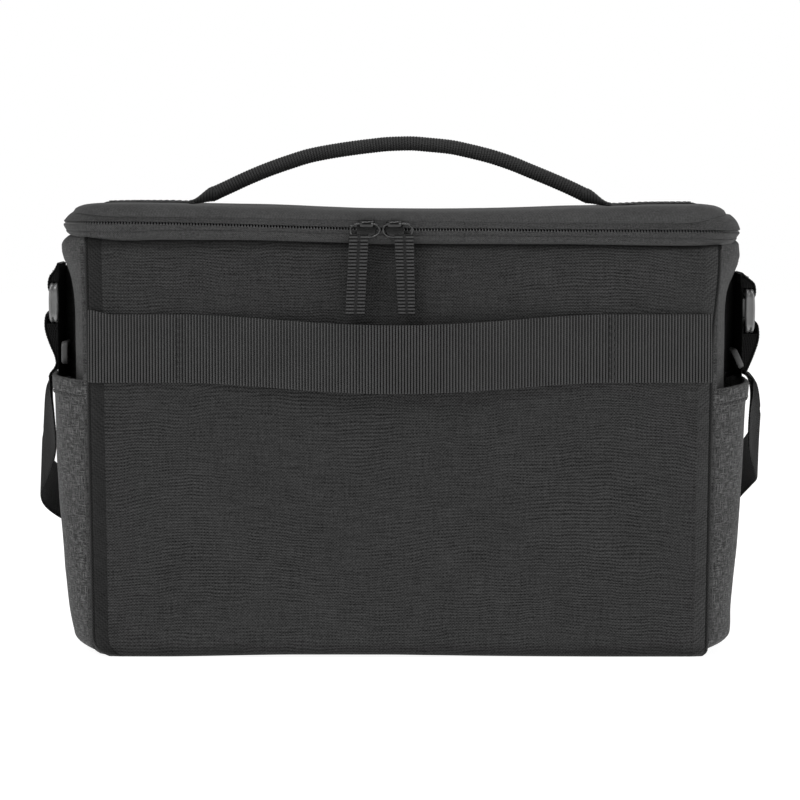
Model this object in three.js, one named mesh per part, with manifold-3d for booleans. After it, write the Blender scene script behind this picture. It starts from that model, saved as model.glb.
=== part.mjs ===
// Padded shoulder bag for a camera, with a zipped lid, a carry handle, side pockets,
// a webbing band across the back and a shoulder strap.
// Millimetres, +Z up. The origin is at the middle of the base. The back of the bag,
// which carries the band and the zip pulls, faces -Y.
import * as THREE from 'three';
import { mergeVertices } from 'three/addons/utils/BufferGeometryUtils.js';
import Module from 'manifold-3d';

const wasm = await Module();
wasm.setup();

// ---- driving dimensions -------------------------------------------------------------
const BODY_HALF_W = 171; // half width of the back and front panels at the mouth
const BODY_TAPER = 3; // how much narrower each side is at the floor
const BODY_TOP = 224; // top edge of the body panels
const BACK_IN = -78; // inner face of the back panel
const BACK_OUT = -84; // outer face of the back panel at its edges
const BACK_CROWN = 4; // how far the back panel stands out in the middle
const FRONT_IN = 60;
const FRONT_OUT = 66;
const SIDE_IN = 165; // inner face of the side panels
const SIDE_MID_Y = -9; // where the side panels stand out most
const SIDE_HALF_D = 68.7; // half depth of a side panel
const EDGE_R = 8; // rounding of the panels' outer edges
const FOAM_T = 6;
const BASE_T = 5;
const BOARD_T = 3;
const GAP = 0.3; // between sewn pieces

const TAPE_T = 1.6; // zipper tape with its coil
const TAPE_BODY_Z = [224.3, 231.2];
const TAPE_LID_Z = [232.4, 239.7];
const ZIP_MID_Z = 231.8;
const ZIP_MID_Y = -86.45;

const LID_Z = 240; // underside of the lid panel
const LID_TOP = 246.2;
const LID_SAG = 2.6; // dip of the lid's back edge in the middle
const LID_FRONT_Y = 66;

const HANDLE_Y = -9;
const HANDLE_R = 4.25;
const HANDLE_HALF_SPAN = 104;
const HANDLE_FOOT_Z = 251;
const HANDLE_RISE = 27.6;
const HANDLE_END = { x0: 108.5, x1: 165, w: 26, t: 1.8, z: 246.5 };

const BAND_H = 37; // webbing band across the back
const BAND_T = 1.6;
const BAND_MID_Z = 168;
const BAND_SAG = 5.6;
const BAND_BOW = 7.0;
const BAND_STITCH_X = [-119, 114.5];

const POCKET_T = 2.0;
const POCKET_FLOOR = 2.5;
const HEM_H = 10;
const HEM_T = 1.0;
const MOUTH = { left: 151.5, right: 147.5 };

const FRONT_POCKET = { halfW: 150, depth: 19.7, z0: 10, z1: 186, t: 1.8 };
const FRONT_ZIP_Z = 167.9;
const FRONT_ZIP_Y = 85;
const FRONT_SLOT = { halfW: 140, z0: 159.7, z1: 176.3 };

const SLIDER_LEFT_X = -18;
const SLIDER_RIGHT_X = -3;
const FRONT_SLIDER_X = 122;

const STRAP_W = 38;
const STRAP_T = 1.5;
const RING = { y: 2, x: 196.25, t: 4.5, w: 46, z0: 179, z1: 201.7, bar: 4.2, side: 3.5 };
const PAD = { halfL: 125, y0: 98, y1: 158, t: 8 };

// ---- materials ----------------------------------------------------------------------
const cloth = (hex, roughness = 0.85) =>
  new THREE.MeshStandardMaterial({ color: hex, roughness, metalness: 0 });
const PANEL = () => cloth(0x37373a);
const HEATHER = () => cloth(0x4a4a4c);
const WEBBING = () => cloth(0x343436);
const STRAP = () => cloth(0x17171a);
const TAPE = () => cloth(0x414143);
const FOAM = () => cloth(0x5c5c60, 0.95);
const BOARD = () => new THREE.MeshStandardMaterial({ color: 0x202022, roughness: 0.5, metalness: 0 });
const GLOSS_METAL = () => new THREE.MeshStandardMaterial({ color: 0x0c0c0d, roughness: 0.25, metalness: 1 });
const RING_METAL = () => new THREE.MeshStandardMaterial({ color: 0x6a6a6c, roughness: 0.35, metalness: 1 });
const BUCKLE = () => new THREE.MeshStandardMaterial({ color: 0x161618, roughness: 0.4, metalness: 0 });

const bag = new THREE.Group();

// ---- geometry helpers ---------------------------------------------------------------
// A closed solid with shared vertices and its faces pointing out.
function solid(geometry) {
  const g = geometry.clone();
  for (const name of Object.keys(g.attributes)) if (name !== 'position') g.deleteAttribute(name);
  const merged = mergeVertices(g, 1e-4);
  const p = merged.attributes.position;
  const index = merged.index.array;
  const a = new THREE.Vector3(), b = new THREE.Vector3(), c = new THREE.Vector3();
  let volume = 0;
  for (let i = 0; i < index.length; i += 3) {
    a.fromBufferAttribute(p, index[i]);
    b.fromBufferAttribute(p, index[i + 1]);
    c.fromBufferAttribute(p, index[i + 2]);
    volume += a.dot(b.cross(c));
  }
  if (volume < 0) {
    for (let i = 0; i < index.length; i += 3) {
      const k = index[i + 1];
      index[i + 1] = index[i + 2];
      index[i + 2] = k;
    }
  }
  return merged;
}

function reshape(geometry, map) {
  const p = geometry.attributes.position;
  for (let i = 0; i < p.count; i++) {
    const q = map(p.getX(i), p.getY(i), p.getZ(i));
    p.setXYZ(i, q[0], q[1], q[2]);
  }
  return geometry;
}

// A box cut into cells at the given values, each corner of which is then placed by map.
function block(us, vs, ws, map) {
  const nu = us.length - 1, nv = vs.length - 1, nw = ws.length - 1;
  const g = new THREE.BoxGeometry(1, 1, 1, nu, nv, nw);
  reshape(g, (x, y, z) =>
    map(us[Math.round((x + 0.5) * nu)], vs[Math.round((y + 0.5) * nv)], ws[Math.round((z + 0.5) * nw)]));
  return solid(g);
}

const box = (x0, x1, y0, y1, z0, z1) => block([x0, x1], [y0, y1], [z0, z1], (x, y, z) => [x, y, z]);

function toManifold(geometry) {
  return new wasm.Manifold(new wasm.Mesh({
    numProp: 3,
    vertProperties: new Float32Array(geometry.attributes.position.array),
    triVerts: new Uint32Array(geometry.index.array),
  }));
}

function fromManifold(body) {
  const m = body.getMesh();
  const g = new THREE.BufferGeometry();
  g.setAttribute('position', new THREE.BufferAttribute(new Float32Array(m.vertProperties), 3));
  g.setIndex(new THREE.BufferAttribute(new Uint32Array(m.triVerts), 1));
  return g;
}

const cut = (a, ...others) =>
  fromManifold(others.reduce((m, o) => m.subtract(toManifold(o)), toManifold(a)));
const join = (a, ...others) =>
  fromManifold(others.reduce((m, o) => m.add(toManifold(o)), toManifold(a)));

// Straight-line lookup in a table of [key, value] rows.
function lookup(table, at) {
  if (at <= table[0][0]) return table[0][1];
  for (let i = 1; i < table.length; i++) {
    if (at <= table[i][0]) {
      const [k0, v0] = table[i - 1], [k1, v1] = table[i];
      return v0 + ((v1 - v0) * (at - k0)) / (k1 - k0);
    }
  }
  return table[table.length - 1][1];
}

const spread = (a, b, n) => Array.from({ length: n + 1 }, (_, i) => a + ((b - a) * i) / n);

function piece(name, geometry, material, parent = bag) {
  const mesh = new THREE.Mesh(geometry, material);
  mesh.name = name;
  parent.add(mesh);
  return mesh;
}

const mirrored = (geometry) => solid(reshape(geometry.clone(), (x, y, z) => [-x, y, z]));

// ---- outer surfaces of the body -----------------------------------------------------
const round = (d, r, most) => (d <= 0 ? 0 : Math.min(most, r - Math.sqrt(Math.max(0, r * r - d * d))));
const taper = (x, z) => x * (1 - (BODY_TAPER / BODY_HALF_W) * (1 - z / BODY_TOP));

// Outer face of the back panel at x, z.
function backFace(x, z) {
  const cx = Math.max(0, 1 - (x / BODY_HALF_W) ** 2);
  const cz = Math.max(0, 1 - ((z - BODY_TOP / 2) / (BODY_TOP / 2)) ** 2);
  const edge = round(Math.abs(x) - (BODY_HALF_W - EDGE_R), EDGE_R, 4.6) + round(EDGE_R - z, EDGE_R, 4.6);
  return BACK_OUT - BACK_CROWN * cx * cz + Math.min(4.6, edge);
}

// Outer face of the right side panel at y, z; the left is its mirror.
const SIDE_BULGE = [[0, 5], [20, 8], [60, 9.5], [120, 11], [160, 13], [190, 16.5], [214, 19], [224, 17.5]];
const POCKET_BULGE = [[0, 9], [5, 12], [15, 15.5], [30, 17.8], [60, 20.7], [100, 23.4], [140, 24.9], [160, 25]];
const sideBase = (z) => BODY_HALF_W - BODY_TAPER * (1 - z / BODY_TOP);
function sideFace(y, z) {
  const t = Math.min(1, Math.abs((y - SIDE_MID_Y) / SIDE_HALF_D));
  return sideBase(z) + lookup(SIDE_BULGE, z) * (1 - t ** 3) - round(EDGE_R - z, EDGE_R, 2);
}
function pocketFace(y, z) {
  const t = Math.min(1, Math.abs((y - SIDE_MID_Y) / SIDE_HALF_D));
  const out = sideBase(z) + lookup(POCKET_BULGE, z) * (1 - t ** 4) - round(EDGE_R - z, EDGE_R, 2);
  return Math.max(out, sideFace(y, z) + GAP + POCKET_T);
}

// ---- body panels --------------------------------------------------------------------
const panelX = [-171, -169.5, -166.5, -163, -130, -90, -45, 0, 45, 90, 130, 163, 166.5, 169.5, 171];
const panelZ = [0, 1.5, 4.5, 8, 40, 76, 112, 148, 184, 212, 224];

piece('back_panel', block(panelX, [0, 1], panelZ, (x, v, z) =>
  [taper(x, z), v ? BACK_IN : backFace(x, z), z]), PANEL());

piece('front_panel', block(panelX, [0, 1], [0, 1.5, 4.5, 8, 112, 224], (x, v, z) => {
  const edge = Math.min(4.6, round(Math.abs(x) - (BODY_HALF_W - EDGE_R), EDGE_R, 4.6) + round(EDGE_R - z, EDGE_R, 4.6));
  return [taper(x, z), v ? FRONT_OUT - edge : FRONT_IN, z];
}), HEATHER());

const sideY = [-77.7, -76, -72, -64, -52, -36, -18, 0, 18, 34, 46, 54, 58, 59.7];
const sideZ = [0, 2, 5, 8, 20, 60, 120, 160, 190, 206, 214, 224];
const side = block([0, 1], sideY, sideZ, (u, y, z) => [u ? sideFace(y, z) : SIDE_IN, y, z]);
piece('right_side_panel', side, HEATHER());
piece('left_side_panel', mirrored(side), HEATHER());

const wallX = SIDE_IN - GAP;
piece('bottom_panel', box(-wallX, wallX, BACK_IN + GAP, FRONT_IN - GAP, 0, BASE_T), PANEL());

// ---- padding and stiffening ---------------------------------------------------------
const padZ0 = BASE_T + GAP, padTop = 222;
const backFoam = [BACK_IN + GAP, BACK_IN + GAP + FOAM_T];
const frontFoam = [FRONT_IN - GAP - FOAM_T, FRONT_IN - GAP];
piece('foam_back', box(-wallX, wallX, ...backFoam, padZ0, padTop), FOAM());
piece('foam_front', box(-wallX, wallX, ...frontFoam, padZ0, padTop), FOAM());
const foamSideX = [wallX - FOAM_T, wallX];
const foamSideY = [backFoam[1] + GAP, frontFoam[0] - GAP];
piece('foam_right', box(...foamSideX, ...foamSideY, padZ0, padTop), FOAM());
piece('foam_left', box(-foamSideX[1], -foamSideX[0], ...foamSideY, padZ0, padTop), FOAM());
const boardX = foamSideX[0] - GAP;
piece('base_board', box(-boardX, boardX, ...foamSideY, padZ0, padZ0 + BOARD_T), BOARD());
const floorTop = padZ0 + BOARD_T + GAP + FOAM_T;
piece('floor_pad', box(-boardX, boardX, ...foamSideY, padZ0 + BOARD_T + GAP, floorTop), FOAM());
for (const [name, x] of [['divider_left', -58], ['divider_right', 58]]) {
  piece(name, box(x - 4, x + 4, foamSideY[0] + 0.4, foamSideY[1] - 0.4, floorTop + 0.4, 192), FOAM());
}

// ---- zipper tapes round the mouth -----------------------------------------------------
// Half of the mouth's outline, from the middle of the back to the end at the front.
const OUTLINE = [[0, -86.5], [45, -86.4], [90, -86.2], [130, -85.9], [155, -85.4], [168, -83.2], [176, -78.5],
  [181.5, -70], [185.5, -55], [187.5, -35], [188, -10], [187, 20], [184, 42], [179, 56], [175.5, 62]];
const outline = [...OUTLINE.slice(1).reverse().map(([x, y]) => [-x, y]), ...OUTLINE];
const outlineOut = outline.map((p, i) => {
  const a = outline[Math.max(0, i - 1)], b = outline[Math.min(outline.length - 1, i + 1)];
  const dx = b[0] - a[0], dy = b[1] - a[1], l = Math.hypot(dx, dy);
  return [dy / l, -dx / l];
});
const steps = outline.map((_, i) => i);
function tape(z0, z1) {
  return block(steps, [0, 1], [z0, z1], (i, v, z) => {
    const t = v ? -TAPE_T / 2 : TAPE_T / 2;
    return [outline[i][0] + outlineOut[i][0] * t, outline[i][1] + outlineOut[i][1] * t, z];
  });
}
piece('body_zipper_tape', tape(...TAPE_BODY_Z), TAPE());
piece('lid_zipper_tape', tape(...TAPE_LID_Z), TAPE());

// ---- lid ------------------------------------------------------------------------------
const LID_ROWS = [[-87.6, 152], [-86.6, 163], [-83, 172], [-76, 179.5], [-66, 184.5], [-50, 187.6], [-34, 188.8],
  [-10, 189.2], [20, 188.2], [42, 185.2], [54, 181], [62, 177], [LID_FRONT_Y, 174.5]];
const lidU = [-1, -0.985, -0.955, -0.9, -0.6, -0.3, 0, 0.3, 0.6, 0.9, 0.955, 0.985, 1];
const lidRows = LID_ROWS.map((_, i) => i);
piece('lid_panel', block(lidU, lidRows, [0, 1], (u, i, w) => {
  const [y, hw] = LID_ROWS[i];
  const x = u * hw;
  if (!w) return [x, y, LID_Z];
  const side = (1 - Math.abs(u)) * hw, back = y + 87.6, front = LID_FRONT_Y - y;
  const d = Math.min(side, back, front);
  const drop = d >= 9 ? 0 : 3.8 * (1 - d / 9) ** 2;
  const sag = LID_SAG * Math.exp(-((x / 120) ** 2)) * Math.exp(-(((y + 87) / 40) ** 2));
  return [x, y, Math.max(LID_Z + 2.0, LID_TOP - drop - sag)];
}), HEATHER());
piece('lid_pad', box(-165, 165, -74, 52, 235, LID_Z - GAP), FOAM());
piece('lid_hinge_strip', box(-168, 168, 64.6, 66, 229.2, LID_Z - GAP), HEATHER());

// ---- carry handle ---------------------------------------------------------------------
const arch = new THREE.CatmullRomCurve3(
  [-1, -0.92, -0.8, -0.65, -0.45, -0.22, 0.03, 0.25, 0.45, 0.65, 0.8, 0.92, 1].map((t) =>
    new THREE.Vector3(t * HANDLE_HALF_SPAN, HANDLE_Y, HANDLE_FOOT_Z + HANDLE_RISE * (1 - Math.abs(t) ** 2.15))));
const handleSection = new THREE.Shape();
for (let i = 0; i < 10; i++) {
  const a = (i / 10) * 2 * Math.PI;
  handleSection[i ? 'lineTo' : 'moveTo'](HANDLE_R * Math.cos(a), HANDLE_R * Math.sin(a));
}
handleSection.closePath();
piece('carry_handle', solid(new THREE.ExtrudeGeometry(handleSection, { steps: 28, extrudePath: arch, bevelEnabled: false })), WEBBING());
for (const [name, s] of [['handle_end_left', -1], ['handle_end_right', 1]]) {
  const { x0, x1, w, t, z } = HANDLE_END;
  const xs = s < 0 ? [-x1, -x0] : [x0, x1];
  piece(name, box(...xs, HANDLE_Y - w / 2, HANDLE_Y + w / 2, z, z + t), WEBBING());
}

// ---- webbing band across the back -------------------------------------------------------
const bandX = [-168.5, -166.5, -163, -150, -132, -119, -108, -96, -84, -72, -58, -42, -22, 0, 22, 40, 55, 69, 81, 93, 104, 114.5, 130, 148, 163, 166.5, 168.5];
function bandShape(x) {
  const mid = (BAND_STITCH_X[0] + BAND_STITCH_X[1]) / 2, half = (BAND_STITCH_X[1] - BAND_STITCH_X[0]) / 2;
  const t = Math.min(1, Math.abs((x - mid) / half));
  return (1 - t * t) ** 2;
}
piece('back_band', block(bandX, [0, 1], spread(-BAND_H / 2, BAND_H / 2, 2), (x, v, h) => {
  const s = bandShape(x);
  const z = BAND_MID_Z - BAND_SAG * s + h;
  // the whole width stands off the panel's most proud line, so it lies flat
  const wall = Math.min(backFace(x, z), backFace(x, BAND_MID_Z - BAND_SAG * s));
  const inner = wall - 2 * GAP - BAND_BOW * s;
  return [x, v ? inner : inner - BAND_T, z];
}), WEBBING());

// ---- side pockets -----------------------------------------------------------------------
const pocketY = [-77, -75.5, -74, -70, -64, -54, -38, -18, 0, 20, 36, 46, 52, 56, 57.5, 59];
function sidePocket(top) {
  const zs = [0, 2, 5, 8, 15, 30, 60, 100, top];
  const outer = block([0, 1], pocketY, zs, (u, y, z) => [u ? pocketFace(y, z) : sideFace(y, z) + GAP, y, z]);
  const hollowZ = [POCKET_FLOOR, 5, 8, 15, 30, 60, 100, top + 1];
  const hollowY = pocketY.filter((y) => y >= -74 && y <= 56);
  const hollow = block([0, 1], hollowY, hollowZ, (u, y, z) =>
    [u ? pocketFace(y, Math.min(z, top)) - POCKET_T : sideFace(y, z) - 1, y, z]);
  return cut(outer, hollow);
}
function pocketHem(mouth) {
  return block([0, 1], pocketY, [mouth - HEM_H, mouth], (u, y, z) => {
    const out = pocketFace(y, z);
    return [u ? out + GAP + HEM_T : out + GAP, y, z];
  });
}
piece('side_pocket_right', sidePocket(MOUTH.right), HEATHER());
piece('side_pocket_left', mirrored(sidePocket(MOUTH.left)), HEATHER());
piece('pocket_hem_right', pocketHem(MOUTH.right), HEATHER());
piece('pocket_hem_left', mirrored(pocketHem(MOUTH.left)), HEATHER());

// ---- front pocket, zipped across its face --------------------------------------------------
const fp = FRONT_POCKET;
const fpX = [-150, -149, -146, -141, 0, 141, 146, 149, 150];
const fpFace = (x, z, inset) => {
  const ex = round(Math.abs(x) - (fp.halfW - 9), 9, 9), ez = round(fp.z0 + 9 - z, 9, 9);
  return FRONT_OUT + GAP + fp.depth - Math.min(12, ex + ez) - inset;
};
const fpOuter = block(fpX, [0, 1], [10, 11, 14, 19, fp.z1], (x, v, z) => [x, v ? fpFace(x, z, 0) : FRONT_OUT + GAP, z]);
const fpHollow = block([-148.2, -146, -141, 0, 141, 146, 148.2], [0, 1], [fp.z0 + 1.8, 14, 19, fp.z1 - 1.8], (x, v, z) =>
  [x, v ? fpFace(x, z, fp.t) : FRONT_OUT - 2, z]);
const fpSlot = box(-FRONT_SLOT.halfW, FRONT_SLOT.halfW, 78, 90, FRONT_SLOT.z0, FRONT_SLOT.z1);
piece('front_pocket', cut(fpOuter, fpHollow, fpSlot), HEATHER());
const fzX = FRONT_SLOT.halfW - GAP;
piece('front_zip_tape_lower', box(-fzX, fzX, FRONT_ZIP_Y - 0.8, FRONT_ZIP_Y + 0.8, FRONT_SLOT.z0 + GAP, FRONT_ZIP_Z - 0.6), TAPE());
piece('front_zip_tape_upper', box(-fzX, fzX, FRONT_ZIP_Y - 0.8, FRONT_ZIP_Y + 0.8, FRONT_ZIP_Z + 0.6, FRONT_SLOT.z1 - GAP), TAPE());

// ---- zip sliders, bails and pull tapes -----------------------------------------------------
// Local frame: x along the zipper, -y outward, the coil's gap at z = 0.
const BAIL = { y: -4.45, top: 3.4, bottom: -3.6, halfW: 7.2, wire: 0.7 };
function sliderShape() {
  const plate = block([-5.2, -4.2, 4.2, 5.2], [0, 1], [-4.2, -3.0, 3.2, 4.4], (x, v, z) => {
    const corner = Math.abs(x) > 5 && (z < -4 || z > 4.3) ? 0.86 : 1;
    return [x * corner, v ? -1.15 : -2.85, z * corner];
  });
  const inner = box(-4.6, 4.6, 1.95, 3.65, -3.8, 3.8);
  const web = box(-4.2, 4.2, -1.6, 2.4, -0.3, 0.3);
  const bridge = box(-1.6, 1.6, -6.3, -2.4, 1.5, 5.4);
  const hole = solid(new THREE.CylinderGeometry(1.2, 1.2, 8, 12).rotateZ(Math.PI / 2).translate(0, BAIL.y, BAIL.top));
  return cut(join(plate, web, inner, bridge), hole);
}
function bailShape() {
  const g = new THREE.TorusGeometry(4, 1, 8, 32);
  const uv = g.attributes.uv, p = g.attributes.position;
  const midZ = (BAIL.top + BAIL.bottom) / 2, halfH = (BAIL.top - BAIL.bottom) / 2;
  const at = (a) => {
    const c = Math.cos(a), s = Math.sin(a), e = 1 / 3;
    return [BAIL.halfW * Math.sign(c) * Math.abs(c) ** e, halfH * Math.sign(s) * Math.abs(s) ** e];
  };
  for (let i = 0; i < p.count; i++) {
    const a = uv.getX(i) * 2 * Math.PI + 0.049, v = uv.getY(i) * 2 * Math.PI;
    const [x, z] = at(a), [x1, z1] = at(a + 0.01), [x0, z0] = at(a - 0.01);
    const l = Math.hypot(x1 - x0, z1 - z0);
    const nx = (z1 - z0) / l, nz = -(x1 - x0) / l;
    const out = BAIL.wire * Math.cos(v);
    p.setXYZ(i, x + nx * out, BAIL.y + BAIL.wire * Math.sin(v), midZ + z + nz * out);
  }
  return solid(g);
}
function pullShape(width, length) {
  const { y, bottom } = BAIL, s = new THREE.Shape();
  const head = 1.5, half = 1.2, tail = bottom - length;
  s.moveTo(y - half, tail);
  s.lineTo(y + half, tail);
  s.lineTo(y + half, bottom - 1);
  for (let i = 0; i <= 8; i++) {
    const a = -0.5 + (i / 8) * (Math.PI + 1);
    s.lineTo(y + head * Math.cos(a), bottom + head * Math.sin(a));
  }
  s.lineTo(y - half, bottom - 1);
  s.closePath();
  const eye = new THREE.Path();
  for (let i = 0; i < 10; i++) {
    const a = -(i / 10) * 2 * Math.PI;
    eye[i ? 'lineTo' : 'moveTo'](y + 1.12 * Math.cos(a), bottom + 1.12 * Math.sin(a));
  }
  eye.closePath();
  s.holes.push(eye);
  const g = new THREE.ExtrudeGeometry(s, { depth: width, bevelEnabled: false });
  return solid(reshape(g, (a, b, c) => [c - width / 2, a, b]));
}
function zipPull(prefix, parent, bailShift, tapeShift) {
  piece(`${prefix}_slider`, sliderShape(), GLOSS_METAL(), parent);
  const bail = piece(`${prefix}_pull_bail`, bailShape(), GLOSS_METAL(), parent);
  bail.position.x = bailShift;
  const pull = piece(`${prefix}_pull_tape`, pullShape(9.6, 41.9), WEBBING(), parent);
  pull.position.x = tapeShift;
}
const zipLeft = new THREE.Group();
zipLeft.position.set(SLIDER_LEFT_X, ZIP_MID_Y, ZIP_MID_Z);
bag.add(zipLeft);
zipPull('left', zipLeft, -1.4, -2.8);
const zipRight = new THREE.Group();
zipRight.position.set(SLIDER_RIGHT_X, ZIP_MID_Y, ZIP_MID_Z);
bag.add(zipRight);
zipPull('right', zipRight, 2.2, 3.6);
const zipFront = new THREE.Group();
zipFront.position.set(FRONT_SLIDER_X, FRONT_ZIP_Y, FRONT_ZIP_Z);
zipFront.rotation.z = Math.PI;
bag.add(zipFront);
zipPull('front', zipFront, 0, 0);

// ---- strap hardware and shoulder strap -----------------------------------------------------
// A strip of webbing seen edge-on: the outline of a line of [x, z] points with a thickness.
function strip(points, t) {
  const n = points.length, left = [], right = [];
  for (let i = 0; i < n; i++) {
    const a = points[Math.max(0, i - 1)], b = points[Math.min(n - 1, i + 1)];
    const dx = b[0] - a[0], dz = b[1] - a[1], l = Math.hypot(dx, dz);
    left.push([points[i][0] - (dz / l) * (t / 2), points[i][1] + (dx / l) * (t / 2)]);
    right.push([points[i][0] + (dz / l) * (t / 2), points[i][1] - (dx / l) * (t / 2)]);
  }
  const s = new THREE.Shape();
  [...left, ...right.reverse()].forEach((q, i) => s[i ? 'lineTo' : 'moveTo'](q[0], q[1]));
  s.closePath();
  return s;
}
const acrossY = (shape, width, y) =>
  solid(reshape(new THREE.ExtrudeGeometry(shape, { depth: width, bevelEnabled: false }), (a, b, c) => [a, y - width / 2 + c, b]));

const tabLine = [[191.1, 214], [191.3, 208], [192.0, 202.5], [192.7, 198.6], [192.8, 196.4], [194.2, 195.4], [196.25, 195.2], [198.4, 195.4],
  [199.7, 196.4], [199.8, 198.8], [199.8, 202], [198.2, 206], [195.2, 210.2], [193.2, 214]];
const tab = acrossY(strip(tabLine, STRAP_T), STRAP_W, RING.y);
const loopLine = [[192.3, 169.8], [192.6, 174], [192.8, 181.2], [192.9, 184.2], [194.2, 185.2], [196.25, 185.4], [198.4, 185.2],
  [199.6, 184.2], [199.7, 181.4], [201.3, 177], [200.2, 173], [197.8, 169.8]];
const loop = acrossY(strip(loopLine, STRAP_T), STRAP_W, RING.y);

function framed(w, z0, z1, slots, t, xMid) {
  const s = new THREE.Shape(), c = 1.6;
  const pts = [[-w / 2 + c, z0], [w / 2 - c, z0], [w / 2, z0 + c], [w / 2, z1 - c], [w / 2 - c, z1], [-w / 2 + c, z1], [-w / 2, z1 - c], [-w / 2, z0 + c]];
  pts.forEach((q, i) => s[i ? 'lineTo' : 'moveTo'](q[0], q[1]));
  s.closePath();
  for (const [hw, a, b] of slots) {
    const h = new THREE.Path();
    [[-hw, a], [-hw, b], [hw, b], [hw, a]].forEach((q, i) => h[i ? 'lineTo' : 'moveTo'](q[0], q[1]));
    h.closePath();
    s.holes.push(h);
  }
  const g = new THREE.ExtrudeGeometry(s, { depth: t, bevelEnabled: false });
  return solid(reshape(g, (a, b, d) => [xMid - t / 2 + d, RING.y + a, b]));
}
const ring = framed(RING.w, RING.z0, RING.z1, [[RING.w / 2 - RING.side, RING.z0 + RING.bar, RING.z1 - RING.bar]], RING.t, RING.x);
const adjuster = framed(46, 156.2, 168.8, [[19.6, 158.4, 161.0], [19.6, 163.8, 166.6]], 4, 195);

// The strap's middle line from below the adjuster, round behind the bag to the pad, with
// the direction of its width at each point.
const STRAP_LINE = [[198.4, 2.1, 154.6], [199.0, 2.8, 147], [199.8, 7, 134], [202.6, 18, 117], [205.6, 31, 102], [207.4, 44, 91],
  [206.6, 55, 83.5], [202.5, 66, 77], [194, 77, 70.5], [181, 87, 61], [164, 96, 48], [145, 105, 34], [126, 113, 22], [108, 120.5, 13], [84, 127, 9.7]];
const STRAP_WIDTH = [[0, 1, 0], [0, 1, 0.05], [0, 1, 0.4], [0, 1, 0.7], [0, 1, 0.9], [0, 1, 1], [0, 1, 1], [0, 1, 0.95],
  [0, 1, 0.9], [0, 1, 0.8], [0, 1, 0.6], [0, 1, 0.4], [0, 1, 0.15], [0, 1, 0], [0, 1, 0]];
const strapCurve = new THREE.CatmullRomCurve3(STRAP_LINE.map((p) => new THREE.Vector3(...p)), false, 'centripetal');
const widthCurve = new THREE.CatmullRomCurve3(STRAP_WIDTH.map((p) => new THREE.Vector3(...p)), false, 'centripetal');
const strap = block(spread(0, 1, 30), [-0.5, 0.5], [-0.5, 0.5], (u, v, w) => {
  const p = strapCurve.getPoint(u), d = strapCurve.getTangent(u);
  const across = widthCurve.getPoint(u);
  across.addScaledVector(d, -across.dot(d)).normalize();
  const out = new THREE.Vector3().crossVectors(d, across).normalize();
  p.addScaledVector(across, v * STRAP_W).addScaledVector(out, w * STRAP_T);
  return [p.x, p.y, p.z];
});
for (const [s, put] of [['right', (g) => g], ['left', mirrored]]) {
  piece(`strap_tab_${s}`, put(tab), STRAP());
  piece(`strap_ring_${s}`, put(ring), RING_METAL());
  piece(`strap_loop_${s}`, put(loop), STRAP());
  piece(`strap_adjuster_${s}`, put(adjuster), BUCKLE());
  piece(`shoulder_strap_${s}`, put(strap), STRAP());
}
piece('shoulder_pad', block(spread(-PAD.halfL, PAD.halfL, 10), [PAD.y0, PAD.y0 + 6, PAD.y1 - 6, PAD.y1], [0, 0.25, 1], (x, y, w) => {
  const t = Math.abs(x) / PAD.halfL, mid = (PAD.y0 + PAD.y1) / 2;
  const narrow = 1 - 0.16 * t ** 4;
  const edge = y === PAD.y0 || y === PAD.y1 || t === 1;
  return [x, mid + (y - mid) * narrow, w === 1 && edge ? PAD.t * 0.6 : w * PAD.t];
}), STRAP());

export default bag;
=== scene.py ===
"""Looks of the camera bag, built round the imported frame. Lengths below are in millimetres
until a mesh is made; Blender gets metres."""

import math

import bmesh
import bpy
import numpy as np
from mathutils import Matrix, Vector


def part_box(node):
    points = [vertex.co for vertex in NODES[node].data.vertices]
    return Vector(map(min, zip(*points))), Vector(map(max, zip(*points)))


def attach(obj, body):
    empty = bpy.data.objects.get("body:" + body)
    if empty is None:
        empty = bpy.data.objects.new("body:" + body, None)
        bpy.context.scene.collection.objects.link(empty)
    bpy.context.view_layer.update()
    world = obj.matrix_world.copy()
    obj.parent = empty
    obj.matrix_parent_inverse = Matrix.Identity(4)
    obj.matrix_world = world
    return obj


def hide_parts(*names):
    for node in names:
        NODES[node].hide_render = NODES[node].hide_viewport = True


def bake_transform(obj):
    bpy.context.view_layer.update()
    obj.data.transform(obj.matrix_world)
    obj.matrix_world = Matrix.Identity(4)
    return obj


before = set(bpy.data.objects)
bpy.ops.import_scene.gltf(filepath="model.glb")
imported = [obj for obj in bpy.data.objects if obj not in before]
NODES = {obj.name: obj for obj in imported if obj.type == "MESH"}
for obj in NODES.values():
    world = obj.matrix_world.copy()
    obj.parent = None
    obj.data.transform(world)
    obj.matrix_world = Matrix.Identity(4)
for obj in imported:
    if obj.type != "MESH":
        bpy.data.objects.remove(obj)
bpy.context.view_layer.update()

MM = 0.001
PI = math.pi


# ---------------------------------------------------------------------------------------
# camera, light, floor
# ---------------------------------------------------------------------------------------
def make_camera():
    data = bpy.data.cameras.new("camera")
    cam = bpy.data.objects.new("camera", data)
    bpy.context.scene.collection.objects.link(cam)
    data.sensor_width = 36.0
    data.lens = 159.6
    data.clip_start, data.clip_end = 0.05, 50
    data.dof.use_dof = False
    cam.location = (0.0, -1.999, 0.260)
    cam.rotation_euler = (math.radians(90 - 3.585), 0, 0)
    bpy.context.scene.camera = cam
    return cam


make_camera()


# ---------------------------------------------------------------------------------------
# numbers
# ---------------------------------------------------------------------------------------
def box(node):
    """x0, y0, z0, x1, y1, z1 of a CAD node, in mm."""
    lo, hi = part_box(node)
    return [*(c / MM for c in lo), *(c / MM for c in hi)]


def lattice(ix, iy, seed):
    h = np.sin(ix * 127.1 + iy * 311.7 + seed * 74.7) * 43758.5453
    return h - np.floor(h)


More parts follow.
